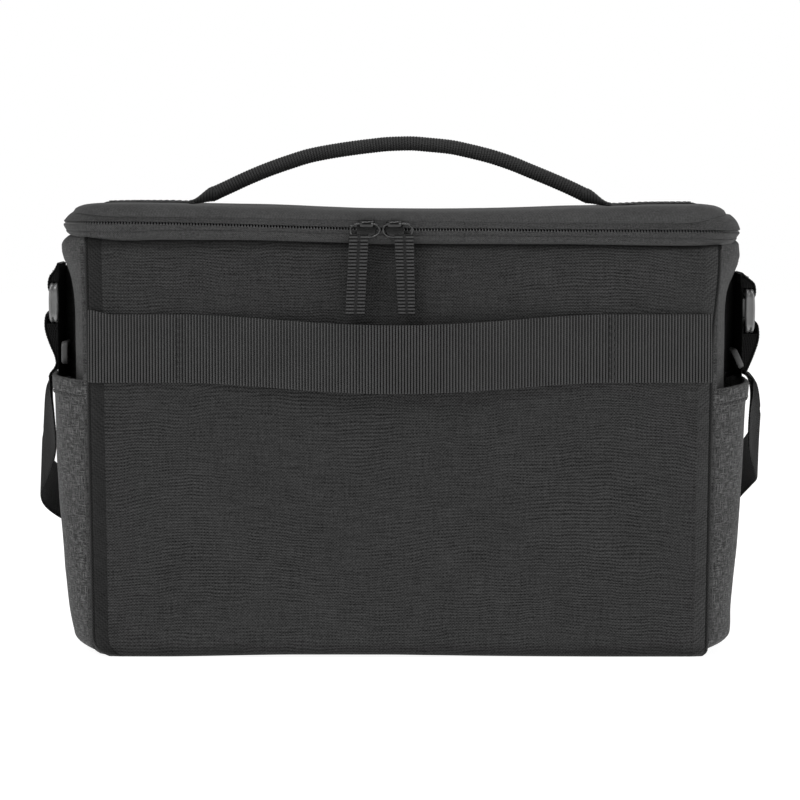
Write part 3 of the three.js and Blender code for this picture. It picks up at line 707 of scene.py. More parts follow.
# the zipper isn't quite level: lowest edge, coil and highest edge of the tapes along the bag
ZIP_EDGES = [(-190, 228.6, 235.0, 241.4), (-170, 227.8, 235.6, 240.3), (-150, 227.5, 235.6, 239.6), (-124, 228.3, 235.2, 239.2),
             (-84, 228.1, 234.2, 238.5), (-45, 227.0, 233.0, 237.6), (-20, 226.2, 232.3, 237.0), (0, 225.8, 232.0, 236.6), (40, 225.5, 231.9, 236.3),
             (86, 225.3, 231.4, 236.0), (154, 223.8, 231.1, 236.1), (175, 223.6, 230.7, 238.2), (190, 224.4, 230.4, 240.0)]


def zip_low(x):
    return curve1([(r[0], r[1]) for r in ZIP_EDGES], x)


def zip_coil(x):
    return curve1([(r[0], r[2]) for r in ZIP_EDGES], x)


def zip_high(x):
    return curve1([(r[0], r[3]) for r in ZIP_EDGES], x)


def half_at(z, right=0.0):
    """Half width of the big panels at a height, with their rounded bottom corners; the right one is squarer."""
    r = 11.0 - 7.0 * right
    return side_base(z) - 0.3 - np.where(z < r, r - np.sqrt(np.clip(r * r - (r - z) ** 2, 0, None)), 0)


def back_y(x, z):
    """Outer face of the back panel."""
    cx = np.clip(1 - (x / HALF_W) ** 2, 0, None)
    cz = np.clip(1 - ((z - TOP / 2) / (TOP / 2)) ** 2, 0, None)
    pull = 0.55 * fbm(x / 70 + 3, z / 16 + x / 190, 5, 3) + 0.35 * fbm(x / 34, z / 60, 8, 2)
    # the cloth sinks a little between the two hanging pulls
    sunk = 2.4 * np.exp(-(((x + 9.5) / 11.0) ** 4)) * np.exp(-(((z - 207) / 19.0) ** 4))
    return BACK_OUT - CROWN * cx**0.8 * cz - pull * np.clip((HALF_W - abs(x)) / 14, 0, 1) + sunk


# side profile: how far the side stands out past the corner seam, by height
SIDE_OUT = [(0, 5.5), (20, 7.8), (60, 9.0), (120, 9.8), (150, 9.9), (175, 9.9), (185, 9.8), (196, 10.3), (204, 11.4), (212, 14.0), (218, 16.6), (223, 16.9), (226, 15.4), (227.4, 13.9), (229.2, 12.6)]
POCKET_OUT = [(0, 8.4), (5, 11.4), (15, 14.4), (30, 16.6), (60, 19.0), (100, 21.2), (140, 21.9), (160, 22.0)]


def side_x(y, z, left=False):
    t = np.clip(np.abs((y - SIDE_MID) / SIDE_DEEP), 0, 1)
    full = 0.0 if left else 2.6 * gauss(z, 210, 9) * (1 - t**3)
    puff = 0.5 * fbm(y / 26, z / 34, 21, 3) * (1 - t**6)
    return side_base(z) + curve1(SIDE_OUT, z) * (1 - t**3) + puff + full


def pocket_x(y, z, hug=1.7):
    t = np.clip(np.abs((y - SIDE_MID) / SIDE_DEEP), 0, 1)
    out = side_base(z) + curve1(POCKET_OUT, z) * (1 - t**4)
    return np.maximum(out, side_x(y, z) + hug)


# ---------------------------------------------------------------------------------------
# body: the big panels
# ---------------------------------------------------------------------------------------
def big_panel(name, back, mats):
    a = stations(-1, 1, 0.022, rim=0.075, fine=0.0065)
    s = stations(0, 1, 0.018, rim=0.05, fine=0.0062)
    A, S = np.meshgrid(a, s, indexing="ij")
    zf = curve1(FLOOR_LINE, a * 168)[:, None]
    zt = (zip_low(a * 168) if back else np.full(len(a), TOP))[:, None]
    Z = zf + (zt - zf) * S
    H = half_at(np.maximum(Z, 0.2), (A > 0).astype(float))
    H = H + (A > 0) * 3.4 * smooth01((Z - 165) / 50) * back
    X = A * H
    d = H - np.abs(X)
    dz = Z - zf
    rim = np.minimum(fall(d, 9.0, 5.2) + fall(dz, 4.5, 2.6) + fall(zt - Z, 4.0, 4.6), 5.2)
    if back:
        Y = back_y(X, Z) + rim
        seam = 0.5 * gauss(d, 9.4, 0.8)
        Y = Y + seam
        inner = np.full_like(Y, BACK_IN)
    else:
        pull = 0.6 * fbm(X / 60, Z / 30, 44, 3) * np.clip((HALF_W - abs(X)) / 14, 0, 1)
        Y = FRONT_OUT - rim + pull * 0.5 - 0.3
        inner = np.full_like(Y, FRONT_IN)
    O = pts(X, Y, Z)
    I = pts(X * 0.994, inner, Z)
    uv = np.stack([X, Z], -1) * MM
    # turned edges: the left takes the shaded copy and the right the lit copy, painted shade and painted light
    mat = np.where(d < 9.2, np.where(X > 0, 2, 1), 0)
    mat = np.where(d[:, :] < 1.4, 3, mat)
    mat[:-1] = np.maximum(mat[:-1], np.where(mat[1:] == 3, 3, 0))
    b = Build().slab(O, I, uv, mat=mat, lip=0.3, inner_mat=0)
    return b.make(name, mats)


back = put(big_panel("back_panel_cloth", True, [MAT["panel"], MAT["turned_edge_shaded"], MAT["turned_edge_lit"], MAT["seam"]]), "body", "back_panel")
front = put(big_panel("front_panel_cloth", False, [MAT["side"], MAT["side"], MAT["side"], MAT["seam"]]), "body", "front_panel")


def side_panel(name, left):
    ys = stations(BACK_IN + 0.3, FRONT_IN - 0.3, 3.2, rim=9, fine=0.7)
    top = 229.0 if left else 226.0
    zs = stations(0, top, 3.6, rim=10, fine=0.9)
    Y, Z = np.meshgrid(ys, zs, indexing="ij")
    X = side_x(Y, Z, left)
    d = Y - ys[0]
    e = ys[-1] - Y
    X = X - fall(Z, 11, 10.5) - fall(top - Z, 2.5, 1.8)
    # the seam allowance makes a ridge beside the corner, then the cloth dips into the seam
    for q in (d, e):
        X = X + 1.3 * gauss(q, 1.9, 1.2) - 2.4 * gauss(q, 0, 0.8)
    O = pts(X, Y, Z)
    I = pts(np.full_like(X, box("right_side_panel")[0] + 0.05), Y, Z)
    I[..., 0] = np.minimum(I[..., 0], O[..., 0] - 0.6)
    b = Build().slab(O, I, lip=0.3)
    return b.make(name, MAT["side"], mirror_x=left)


for s, left in (("left", True), ("right", False)):
    o = put(side_panel(f"{s}_side_cloth", left), "body", f"{s}_side_panel")


def base_panel():
    x0, y0, z0, x1, y1, z1 = box("bottom_panel")
    xs, ys = stations(x0, x1, 5, 9, 1.0), stations(y0, y1, 5, 9, 1.0)
    X, Y = np.meshgrid(xs, ys, indexing="ij")
    d = np.minimum.reduce([X - x0, x1 - X, Y - y0, y1 - Y])
    lift = curve1(FLOOR_LINE, X * 0.98) * 0.9
    Z = z0 + 0.2 + lift * np.exp(-((Y + 9) / 90) ** 2) + fall(d, 7, 3.2)
    Z = np.minimum(Z, z1 - 1.2)
    O = pts(X, Y, Z)
    I = pts(X, Y, np.full_like(Z, z1))
    return Build().slab(O, I, np.stack([X, Y], -1) * MM, lip=0.2).make("base_cloth", MAT["base"])


put(base_panel(), "body", "bottom_panel")


# ---------------------------------------------------------------------------------------
# body: padding inside
# ---------------------------------------------------------------------------------------
def cushion(name, node, thin, r=2.6, crown=0.4, step=5.0, mat="lining", seed=1, bound=None):
    """A padded board in the room of a CAD node, with rounded edges and slightly full faces."""
    b = box(node)
    k = "xyz".index(thin)
    i, j = [q for q in range(3) if q != k]
    us, vs = stations(b[i], b[i + 3], step, 8, 0.9), stations(b[j], b[j + 3], step, 8, 0.9)
    U, V = np.meshgrid(us, vs, indexing="ij")
    d = np.minimum.reduce([U - b[i], b[i + 3] - U, V - b[j], b[j + 3] - V])
    half = (b[k + 3] - b[k]) / 2
    mid = (b[k + 3] + b[k]) / 2
    r = min(r, half * 0.95)
    t = half - crown - fall(d, r, r * 0.9) + crown * smooth01(d / 26) * (1 + 0.9 * fbm(U / 38, V / 38, seed, 2))
    t = np.minimum(t, half)
    O, I = np.zeros(U.shape + (3,)), np.zeros(U.shape + (3,))
    for G, s in ((O, -1), (I, 1)):
        G[..., i], G[..., j], G[..., k] = U, V, mid + s * t
    build = Build().slab(O, I, np.stack([U, V], -1) * MM, lip=min(0.8, half * 0.3))
    return build.make(name, MAT[mat] if bound is None else [MAT[mat], MAT[bound]])


for s, thin in (("back", "y"), ("front", "y"), ("left", "x"), ("right", "x")):
    o = put(cushion(f"lining_{s}", f"foam_{s}", thin, seed=3 + len(s)), "body", f"foam_{s}")
put(cushion("floor_cushion", "floor_pad", "z", seed=9), "body", "floor_pad")
NODES["base_board"].data.materials.clear()
NODES["base_board"].data.materials.append(MAT["board"])


def divider(name, node):
    b = box(node)
    o = cushion(name, node, "x", r=3.4, crown=0.7, seed=13 + int(b[0]))
    put(o, name.replace("_cushion", ""), node)
    # bound top edge
    build = Build()
    xm = (b[0] + b[3]) / 2
    line = pts(xm, np.linspace(b[1] + 1.4, b[4] - 1.4, 60), b[5] - 2.2)
    a = np.linspace(0, 2 * PI, 19)[:-1]
    sec = np.stack([4.25 * np.sign(np.cos(a)) * np.abs(np.cos(a)) ** 0.6, 2.3 * np.sign(np.sin(a)) * np.abs(np.sin(a)) ** 0.6], 1)
    build.sweep(line, sec, across=(1, 0, 0))
    for s in (-1, 1):
        build.stitches(line + [s * 4.1, 0, -1.6], (s, 0, 0), r=0.2)
    e = build.make(name + "_binding", MAT["binding"])
    put(e, name.replace("_cushion", ""))


divider("divider_left_cushion", "divider_left")
divider("divider_right_cushion", "divider_right")

# ---------------------------------------------------------------------------------------
# zipper
# ---------------------------------------------------------------------------------------
OUTLINE = [(0, -86.5), (45, -86.4), (90, -86.2), (130, -85.9), (152, -85.2), (165, -82.8), (173, -78.2), (178.6, -70),
           (182.6, -55), (184.6, -35), (185.2, -10), (184.4, 20), (181.6, 42), (177, 56), (173.5, 62)]
ZB, ZL = box("body_zipper_tape"), box("lid_zipper_tape")
ZIP_Z = (ZB[5] + ZL[2]) / 2
outline = catmull([(-x, y) for x, y in OUTLINE[:0:-1]] + OUTLINE, 1101)
_t = unit(np.gradient(outline, axis=0))
outline_out = np.stack([_t[:, 1], -_t[:, 0]], 1)
outline_s = np.concatenate([[0], np.cumsum(np.linalg.norm(np.diff(outline, axis=0), axis=1))])


def on_outline(i, n, z):
    """Index array i, outward offset n, height z -> points."""
    p = outline[i] + outline_out[i] * np.asarray(n)[..., None]
    return pts(p[..., 0], p[..., 1], z)


def zip_bow(x, z):
    """The tapes bow outward at the coil, most round the sides."""
    side = smooth01((np.abs(x) - 150) / 34)
    lo, hi = zip_low(x), zip_high(x)
    k = (z - (lo + hi) / 2) / ((hi - lo) / 2)
    return -(0.35 + 4.0 * side) * np.abs(k) ** 2.2 + side * (0.2 + 2.0 * smooth01((x - 100) / 70))


def zipper_half(name, body, node, low):
    i = np.arange(0, len(outline))
    ox_, root_of, edge_of = outline[:, 0], None, None
    root_of = zip_low(ox_) + 0.1 if low else zip_high(ox_) + 0.4
    edge_of = zip_coil(ox_) - 0.7 if low else zip_coil(ox_) + 1.2
    s = outline_s
    pitch = 1.62
    teeth = 0.24 * np.sign(np.sin(2 * PI * s / pitch)) * np.abs(np.sin(2 * PI * s / pitch)) ** 0.5
    # a closed section: outer face up or down to the coil edge, round it, and back inside
    sgn = 1 if low else -1
    k = np.linspace(0, 1, 17)
    # outer face from the sewn root to the coil edge, a round tip, and the inner face back
    sec = [(0.62 + 0.22 * float(smooth01((q - 0.6) / 0.3)), q, 0.0) for q in k]
    sec += [(0.62, 1.0, 0.22), (0.0, 1.0, 0.34), (-0.6, 1.0, 0.2)]
    sec += [(-0.8, q, 0.0) for q in k[::-1]]
    lead = 2
    sec = [(-4.6, 0.0, -0.2), (-1.6, 0.0, -0.35)] + sec if not low else [(-3.0, 0.0, -0.5), (-1.2, 0.0, -0.3)] + sec
    # root end: a thick turned fold that stands proud of the panel
    P = np.zeros((len(i), len(sec) + 1, 3))
    for c, (n, q, dz) in enumerate(sec + sec[:1]):
        zz = root_of + (edge_of - root_of) * q + sgn * dz
        nn = n + zip_bow(ox_, zz)
        if q > 0.93:
            zz = zz + sgn * teeth * 0.9
            nn = nn + np.abs(teeth) * 0.8
        if lead <= c < len(k) + lead:
            away = np.abs(zz - root_of)
            nn = nn + (0.55 * np.sqrt(np.clip(1 - ((away - 1.5) / 1.5) ** 2, 0, 1)) - 0.25 * gauss(away, 3.3, 0.45) if low else 0)
        P[:, c] = on_outline(i, nn, zz)
    flat_sec = np.array([(n, q * 7.0 + sgn * dz) for n, q, dz in sec + sec[:1]])
    g = np.concatenate([[0], np.cumsum(np.hypot(*np.diff(flat_sec, axis=0).T))])
    uv = np.stack(np.meshgrid(s, g, indexing="ij"), -1) * MM
    b = Build().grid(P, uv)
    for kk in (0, -1):
        c = P[kk, :-1].mean(0)
        b.grid(np.stack([P[kk], np.broadcast_to(c, P[kk].shape)]), np.stack([uv[kk], uv[kk]]))
    # coil: one small loop every pitch in the gap, those of the two halves end to end
    count = int(s[-1] // pitch)
    at = (np.arange(count) + 0.5) * pitch
    cx = np.interp(at, s, outline[:, 0])
    cy = np.interp(at, s, outline[:, 1])
    ox = np.interp(at, s, outline_out[:, 0])
    oy = np.interp(at, s, outline_out[:, 1])
    a = np.linspace(-PI, PI, 9)
    e = np.linspace(-PI / 2, PI / 2, 7)
    ca, sa, cb, sb = np.cos(a)[:, None], np.sin(a)[:, None], np.clip(np.cos(e), 0, 1)[None], np.sin(e)[None]
    unit_blob = pts(ca * cb, sa * cb, sb * np.ones_like(ca))
    for q in range(count):
        along = np.array([-oy[q], ox[q], 0])
        out = np.array([ox[q], oy[q], 0])
        zc = float(zip_coil(cx[q])) - sgn * 0.35
        n = (0.2 if low else -0.15) + float(zip_bow(cx[q], zc))
        c = np.array([cx[q], cy[q], zc]) + out * n
        B = unit_blob * ([0.38, 0.7, 0.34] if low else [0.34, 0.45, 0.3])
        b.grid(c + B[..., :1] * along + B[..., 1:2] * out + B[..., 2:] * [0, 0, 1], None, 1)
    if low:
        # dark strip behind the coil: painted shade where the gap between the tapes shows
        sec = [(-0.75, -1.5), (-0.75, 1.5), (-1.15, 1.5), (-1.15, -1.5)]
        Q = np.zeros((len(i), 5, 3))
        zc = zip_coil(ox_)
        for c, (n, z) in enumerate(sec + sec[:1]):
            Q[:, c] = on_outline(i, n + zip_bow(ox_, zc), zc + z)
        b.grid(Q[::3], None, 3)
        # the seam allowance turned in over the top of the panels
        sec = [(0.4, 0.9), (-1.5, 0.5), (-4.0, 0.2), (-8.5, -0.2), (-8.5, -0.9), (-4.0, -0.5), (-0.8, -0.1), (0.3, 0.3)]
        Q = np.zeros((len(i), len(sec) + 1, 3))
        for c, (n, z) in enumerate(sec + sec[:1]):
            t = np.clip(-n / 8.5, 0, 1)
            Q[:, c] = on_outline(i, n + zip_bow(ox_, root_of), (root_of + z) * (1 - t) + (223.4 + z) * t)
        b.grid(Q[::4], None, 0)
    # sewing along the tape
    zz = root_of + sgn * 3.3
    line = on_outline(i, 0.62 - 0.3 + zip_bow(ox_, zz), zz)
    b.stitches(line[::2], np.concatenate([outline_out, np.zeros((len(i), 1))], 1)[::2], length=2.2, gap=0.8, r=0.2, mat=2)
    o = b.make(name, [MAT["tape"], MAT["coil"], MAT["thread"], MAT["gap"]], weld=0.002)
    return put(o, body, node)


zipper_half("body_zip", "body", "body_zipper_tape", True)
zipper_half("lid_zip", "lid", "lid_zipper_tape", False)

# ---------------------------------------------------------------------------------------
# lid
# ---------------------------------------------------------------------------------------
LP = box("lid_panel")
LID_ROWS = [(-87.0, 148), (-86.4, 155), (-84.6, 161.5), (-80, 168.5), (-72, 174.5), (-60, 178.2), (-42, 180.2), (-10, 180.9),
            (20, 180.2), (42, 177.6), (54, 174.2), (62, 171), (66, 168.6)]
LID_CROWN = [(-189, 244.2), (-178, 245.2), (-164, 246.1), (-145, 246.4), (-128, 246.4), (-112, 245.7), (-85, 245.1), (-62, 244.5), (-39, 243.5),
             (-17, 242.9), (10, 242.7), (32, 242.6), (51, 242.9), (73, 243.5), (96, 244.3), (118, 244.7), (141, 245.5), (164, 245.6), (176, 244.8), (189, 243.6)]


def lid_z(x, y, d):
    crown = curve1(LID_CROWN, x)
    deep = np.exp(-((y + 9) / 66.0) ** 4)
    z = crown - 0.5 * (1 - deep) + 0.35 * fbm(x / 40, y / 30, 31, 3)
    z = z - 2.0 * gauss(np.abs(x), 112, 15) * gauss(y, -9, 18)
    edge = zip_high(x) + 0.3
    q = np.clip(d / 9.0, 0, 1)
    return edge + (z - edge) * np.sqrt(1 - (1 - q) ** 2.0)


def lid():
    ys_t = np.array([r[0] for r in LID_ROWS])
    ys = np.concatenate([[-87.0, -86.8, -86.5, -86.0, -85, -83.6, -82, -80, -77.5, -74.5, -71], np.linspace(-67, 52, 38), [55, 57.5, 59.6, 61.4, 63, 64.3, 65.3, 66]])
    hw = curve1([(r[0], r[1]) for r in LID_ROWS], ys)
    u = np.sin(np.linspace(-1, 1, 141) * PI / 2) * 0.35 + np.linspace(-1, 1, 141) * 0.65
    U, Yg = np.meshgrid(u, ys, indexing="ij")
    H = np.broadcast_to(hw, U.shape)
    X = U * H
    side = (1 - np.abs(U)) * H
    d = np.minimum.reduce([side, Yg + 87.0, 66 - Yg])
    Z = lid_z(X, Yg, d)
    O = pts(X, Yg, Z)
    I = pts(X * 0.985, np.clip(Yg, -85.6, 65.0), np.minimum(LP[2] + 0.05, Z - 0.9))
    drop = Z - curve1(LID_CROWN, X)
    uv = np.stack([X - np.sign(X) * drop, Yg + drop], -1) * MM
    b = Build().slab(O, I, uv, lip=0.2)
    return b.make("lid_cloth", MAT["lid"])


put(lid(), "lid", "lid_panel")
put(cushion("lid_lining", "lid_pad", "z", r=2.2, crown=0.4, seed=19), "lid", "lid_pad")


def hinge_cloth():
    """The strip that the lid folds on, bent between body and lid."""
    plan = catmull([(-175.8, 61.2), (-174.6, 63.6), (-171, 65.7), (-165, 66.5), (-80, 66.7), (0, 66.8), (80, 66.7), (165, 66.5), (171, 65.7), (174.6, 63.6), (175.8, 61.2)], 181)
    zs = np.linspace(222.4, LP[2] + 0.6, 25)
    t = unit(np.gradient(plan, axis=0))
    out = np.stack([-t[:, 1], t[:, 0]], 1)
    out = out * np.sign((out * (plan - [0, 0])).sum(1, keepdims=True))
    k = np.linspace(-1, 1, len(zs))
    bow = 0.9 * (1 - k**2) - 0.2
    P = np.zeros((len(plan), len(zs), 3))
    Q = P.copy()
    for c, z in enumerate(zs):
        w = 0.25 * vnoise(plan[:, 0] / 22, z / 7, 3)
        p = plan + out * (bow[c] + w)[:, None]
        q = plan + out * (bow[c] + w - 0.95)[:, None]
        P[:, c], Q[:, c] = pts(p[:, 0], p[:, 1], z), pts(q[:, 0], q[:, 1], z)
    o = Build().slab(P, Q, lip=0.25).make("hinge_cloth", MAT["side"])
    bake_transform(o)
    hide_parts("lid_hinge_strip")
    return o


hinge_cloth()

# ---------------------------------------------------------------------------------------
# carry handle
# ---------------------------------------------------------------------------------------
HANDLE_Y, FOOT_Z, RISE, SPAN, R = -9.0, 251.0, 27.6, 104.0, 4.25
HE = box("handle_end_right")


HANDLE_LINE = [(-104, 251.1), (-95.4, 254.95), (-84.2, 260.0), (-73, 264.5), (-61.7, 268.4), (-50.5, 271.8), (-39.3, 274.0), (-28.1, 275.7), (-16.8, 277.1),
               (-5.6, 278.2), (5.6, 278.5), (16.8, 277.7), (28.1, 276.6), (39.3, 274.3), (50.5, 271.5), (61.7, 267.9), (73, 263.4), (84.2, 258.9), (95.4, 254.1), (104, 250.0)]


def handle_z(x):
    return curve1(HANDLE_LINE, x) + 0.5 * (1 - (x / SPAN) ** 2)


def handle():
    x = np.linspace(-SPAN, SPAN, 2401)
    line = even(pts(x, HANDLE_Y, handle_z(x)), 1200)
    n = len(line)
    s = np.linspace(0, length_of(line), n)
    a = np.linspace(0, 2 * PI, 33)[:-1]
    pitch = 1.6
    # ribs run round the roll with a slight slant; the closing seam is a groove underneath
    slant = 0.5 * np.sin(a)[None]
    rib = np.abs(np.cos(PI * (s[:, None] / pitch + slant))) ** 0.7
    lump = 0.16 * vnoise(s[:, None] / 24, a[None] * 1.2, 61)
    r = R - 0.32 + 0.3 * rib + lump
    groove = 0.9 * np.exp(-((np.angle(np.exp(1j * (a - 1.5 * PI)))[None] / 0.22) ** 2)) + 0 * s[:, None]
    r = r - groove * 0.5
    sec = np.stack([r * np.cos(a)[None] * 1.0, r * np.sin(a)[None]], -1)
    b = Build()
    b.sweep(line, sec, across=(0, 1, 0), cap=True)
    # u runs along the roll so that the ribs' grooves stay in step with the shape
    o = b.make("carry_handle_roll", MAT["handle"])
    return put(o, "handle", "carry_handle")


handle()


def handle_end(name, side, body_piece):
    """Flat sewn webbing on the lid."""
    x0, x1 = HE[0], HE[3]
    xs = np.linspace(x0 + 6, x1, 190)
    ys = np.linspace(-13, 13, 15) + HANDLE_Y
    X, Yg = np.meshgrid(xs, ys, indexing="ij")
    rib = 0.16 * np.abs(np.cos(PI * X / 1.6)) ** 0.7
    rest = curve1(LID_CROWN, side * X) + 0.1
    e = np.minimum(13 - np.abs(Yg - HANDLE_Y), 2)
    Z = rest + 0.65 + rib - 0.4 * (1 - e / 2) ** 2 - fall(x1 - X, 5, 1.0)
    O = pts(side * X, Yg, Z)
    I = pts(side * X, Yg, rest - 0.2)
    b = Build().slab(O, I, np.stack([X, Yg], -1) * MM, lip=0.3)
    # box stitch
    q = [(x0 + 10, -10.5), (x1 - 3, -10.5), (x1 - 3, 10.5), (x0 + 10, 10.5), (x0 + 10, -10.5), (x1 - 3, 10.5)]
    for (xa, ya), (xb, yb) in zip(q, q[1:]):
        L = np.linspace(0, 1, 40)
        lx, ly = xa + (xb - xa) * L, ya + (yb - ya) * L
        lz = curve1(LID_CROWN, side * lx) + 0.1 + 0.8
        b.stitches(pts(side * lx, ly + HANDLE_Y, lz), (0, 0, 1), r=0.3, mat=1)
    return put(b.make(name, [MAT["flat_web"], MAT["thread"]]), "lid", body_piece)


handle_end("handle_foot_right", 1, "handle_end_right")
handle_end("handle_foot_left", -1, "handle_end_left")


def handle_turn(name, side):
    """Where the webbing rolls up: flat on the lid at one end, a roll at the other."""
    m = 44
    a = np.linspace(0, 2 * PI, m + 1)[:-1]
    rows, n = [], 120
    xs = np.linspace(HE[0] + 9, SPAN - 3, n)
    for x in xs:
        k = float(smooth01((HE[0] + 9 - x) / (HE[0] + 9 - SPAN)))
        half_w = 12.8 * (1 - k) + (R - 0.1) * k
        half_t = 0.9 * (1 - k) + (R - 0.1) * k
        p = 0.35 * (1 - k) + 1.0 * k
        zc = (float(curve1(LID_CROWN, side * x)) + 0.6) * (1 - k) + float(handle_z(side * min(x, SPAN))) * k
        zc = max(zc, float(curve1(LID_CROWN, side * x)) - 0.6 + half_t)
        rib = 0.22 * abs(math.cos(PI * x / 1.6)) ** 0.7
        c, s = np.cos(a), np.sin(a)
        y = HANDLE_Y + (half_w + rib * 0.5) * np.sign(c) * np.abs(c) ** p
        z = zc + (half_t + rib) * np.sign(s) * np.abs(s) ** min(1.0, p + 0.3)
        rows.append(pts(side * x, y, z))
    P = np.array(rows)
    P = np.concatenate([P, P[:, :1]], 1)
    uv = np.stack(np.meshgrid(xs, np.linspace(0, 40, m + 1), indexing="ij"), -1) * MM
    b = Build().grid(P, uv)
    for kk in (0, -1):
        c = P[kk, :-1].mean(0)
        b.grid(np.stack([P[kk], np.broadcast_to(c, P[kk].shape)]), np.stack([uv[kk], uv[kk]]))
    o = b.make(name, MAT["handle"])
    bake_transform(o)
    return o


handle_turn("handle_turn_right", 1)
handle_turn("handle_turn_left", -1)

# ---------------------------------------------------------------------------------------
# webbing band across the back
# ---------------------------------------------------------------------------------------
BAND_Z, BAND_H, BAND_T, BAND_SAG, BAND_BOW = 168.0, 37.0, 1.6, 5.6, 7.0
BAND_STITCH = (-119.0, 114.5)


def band_s(x):
    mid, half = (BAND_STITCH[0] + BAND_STITCH[1]) / 2, (BAND_STITCH[1] - BAND_STITCH[0]) / 2
    t = np.clip(np.abs((x - mid) / half), 0, 1)
    return (1 - t * t) ** 2


def band_wall(x):
    z = BAND_Z - BAND_SAG * band_s(x)
    d = HALF_W - 1.2 - np.abs(x)
    return BACK_OUT - CROWN * np.clip(1 - (x / HALF_W) ** 2, 0, None) ** 0.8 * np.clip(1 - ((z - 112) / 112) ** 2, 0, None) + np.minimum(fall(d, 8.5, 4.9), 4.9) - 0.75


BAND_TOP = [(-169, 172.4 + 14.0), (-119, 186.2), (-54, 184.4), (-28, 183.2), (-16, 181.4), (29, 180.9), (64, 182.5), (108, 184.8), (169, 186.9)]


def band():
    pitch = 1.62
    n = int(337 / pitch) * 8
    xs = np.linspace(-168.5, 168.5, n + 1)
    vs = np.concatenate([[-1, -0.985, -0.95, -0.9], np.linspace(-0.82, 0.82, 13), [0.9, 0.95, 0.985, 1]])
    X, V = np.meshgrid(xs, vs, indexing="ij")
    s = band_s(X)
    zc = BAND_Z - BAND_SAG * s
    half = BAND_H / 2 - 0.15
    Z = zc + V * half + 2.4 * smooth01((-155 - X) / 14) * (V + 1) / 2
    wall = band_wall(X)
    # ribs stand up the band; they stop at the sewn columns
    rib = np.abs(np.cos(PI * X / pitch)) ** 0.8 * (1 + 0.25 * vnoise(X / pitch, V * 3, 77))
    plain = np.zeros_like(X)
    for c in BAND_STITCH:
        plain = np.maximum(plain, smooth01((2.6 - np.abs(X - c)) / 0.8))
    rib = rib * (1 - 0.75 * plain)
    lift = 0.62 * rib - 0.4 * plain
    edge = fall((1 - np.abs(V)) * half, 1.3, 0.7)
    crown = 0.5 * fbm(X / 30, V * 0.7, 71, 2)
    ripple = 0.9 * gauss(X, -22, 2.4) - 0.5 * gauss(X, -16.5, 3) + 0.8 * gauss(X, 21.5, 2.6) - 0.5 * gauss(X, 27, 3)
    ripple = ripple * s
    Yo = wall - BAND_BOW * s - BAND_T + 0.35 - lift + edge - crown * s + ripple
    Yi = np.minimum(wall - BAND_BOW * s - 0.25 + ripple - crown * s, BACK_IN - 1.2)
    O = pts(X, Yo, Z)
    I = pts(X, Yi, Z)
    uv = np.stack([X, V * half + 20], -1) * MM
    b = Build().slab(O, I, uv, lip=0.15, rim_rows=3)
    # two rows of stitches in each sewn column
    for c in BAND_STITCH:
        for dx in (-1.15, 1.15):
            z = np.linspace(-half + 1.0, half - 1.0, 60)
            x = c + dx
            y = float(band_wall(np.array(x))) - BAND_BOW * float(band_s(np.array(x))) - BAND_T + 0.42
            zc0 = BAND_Z - BAND_SAG * float(band_s(np.array(x)))
            b.stitches(pts(x, y, zc0 + z), (0, -1, 0), length=2.7, gap=0.8, r=0.3, mat=1)
    return put(b.make("back_band_webbing", [MAT["band"], MAT["thread"]], weld=0.002), "body", "back_band")


band()


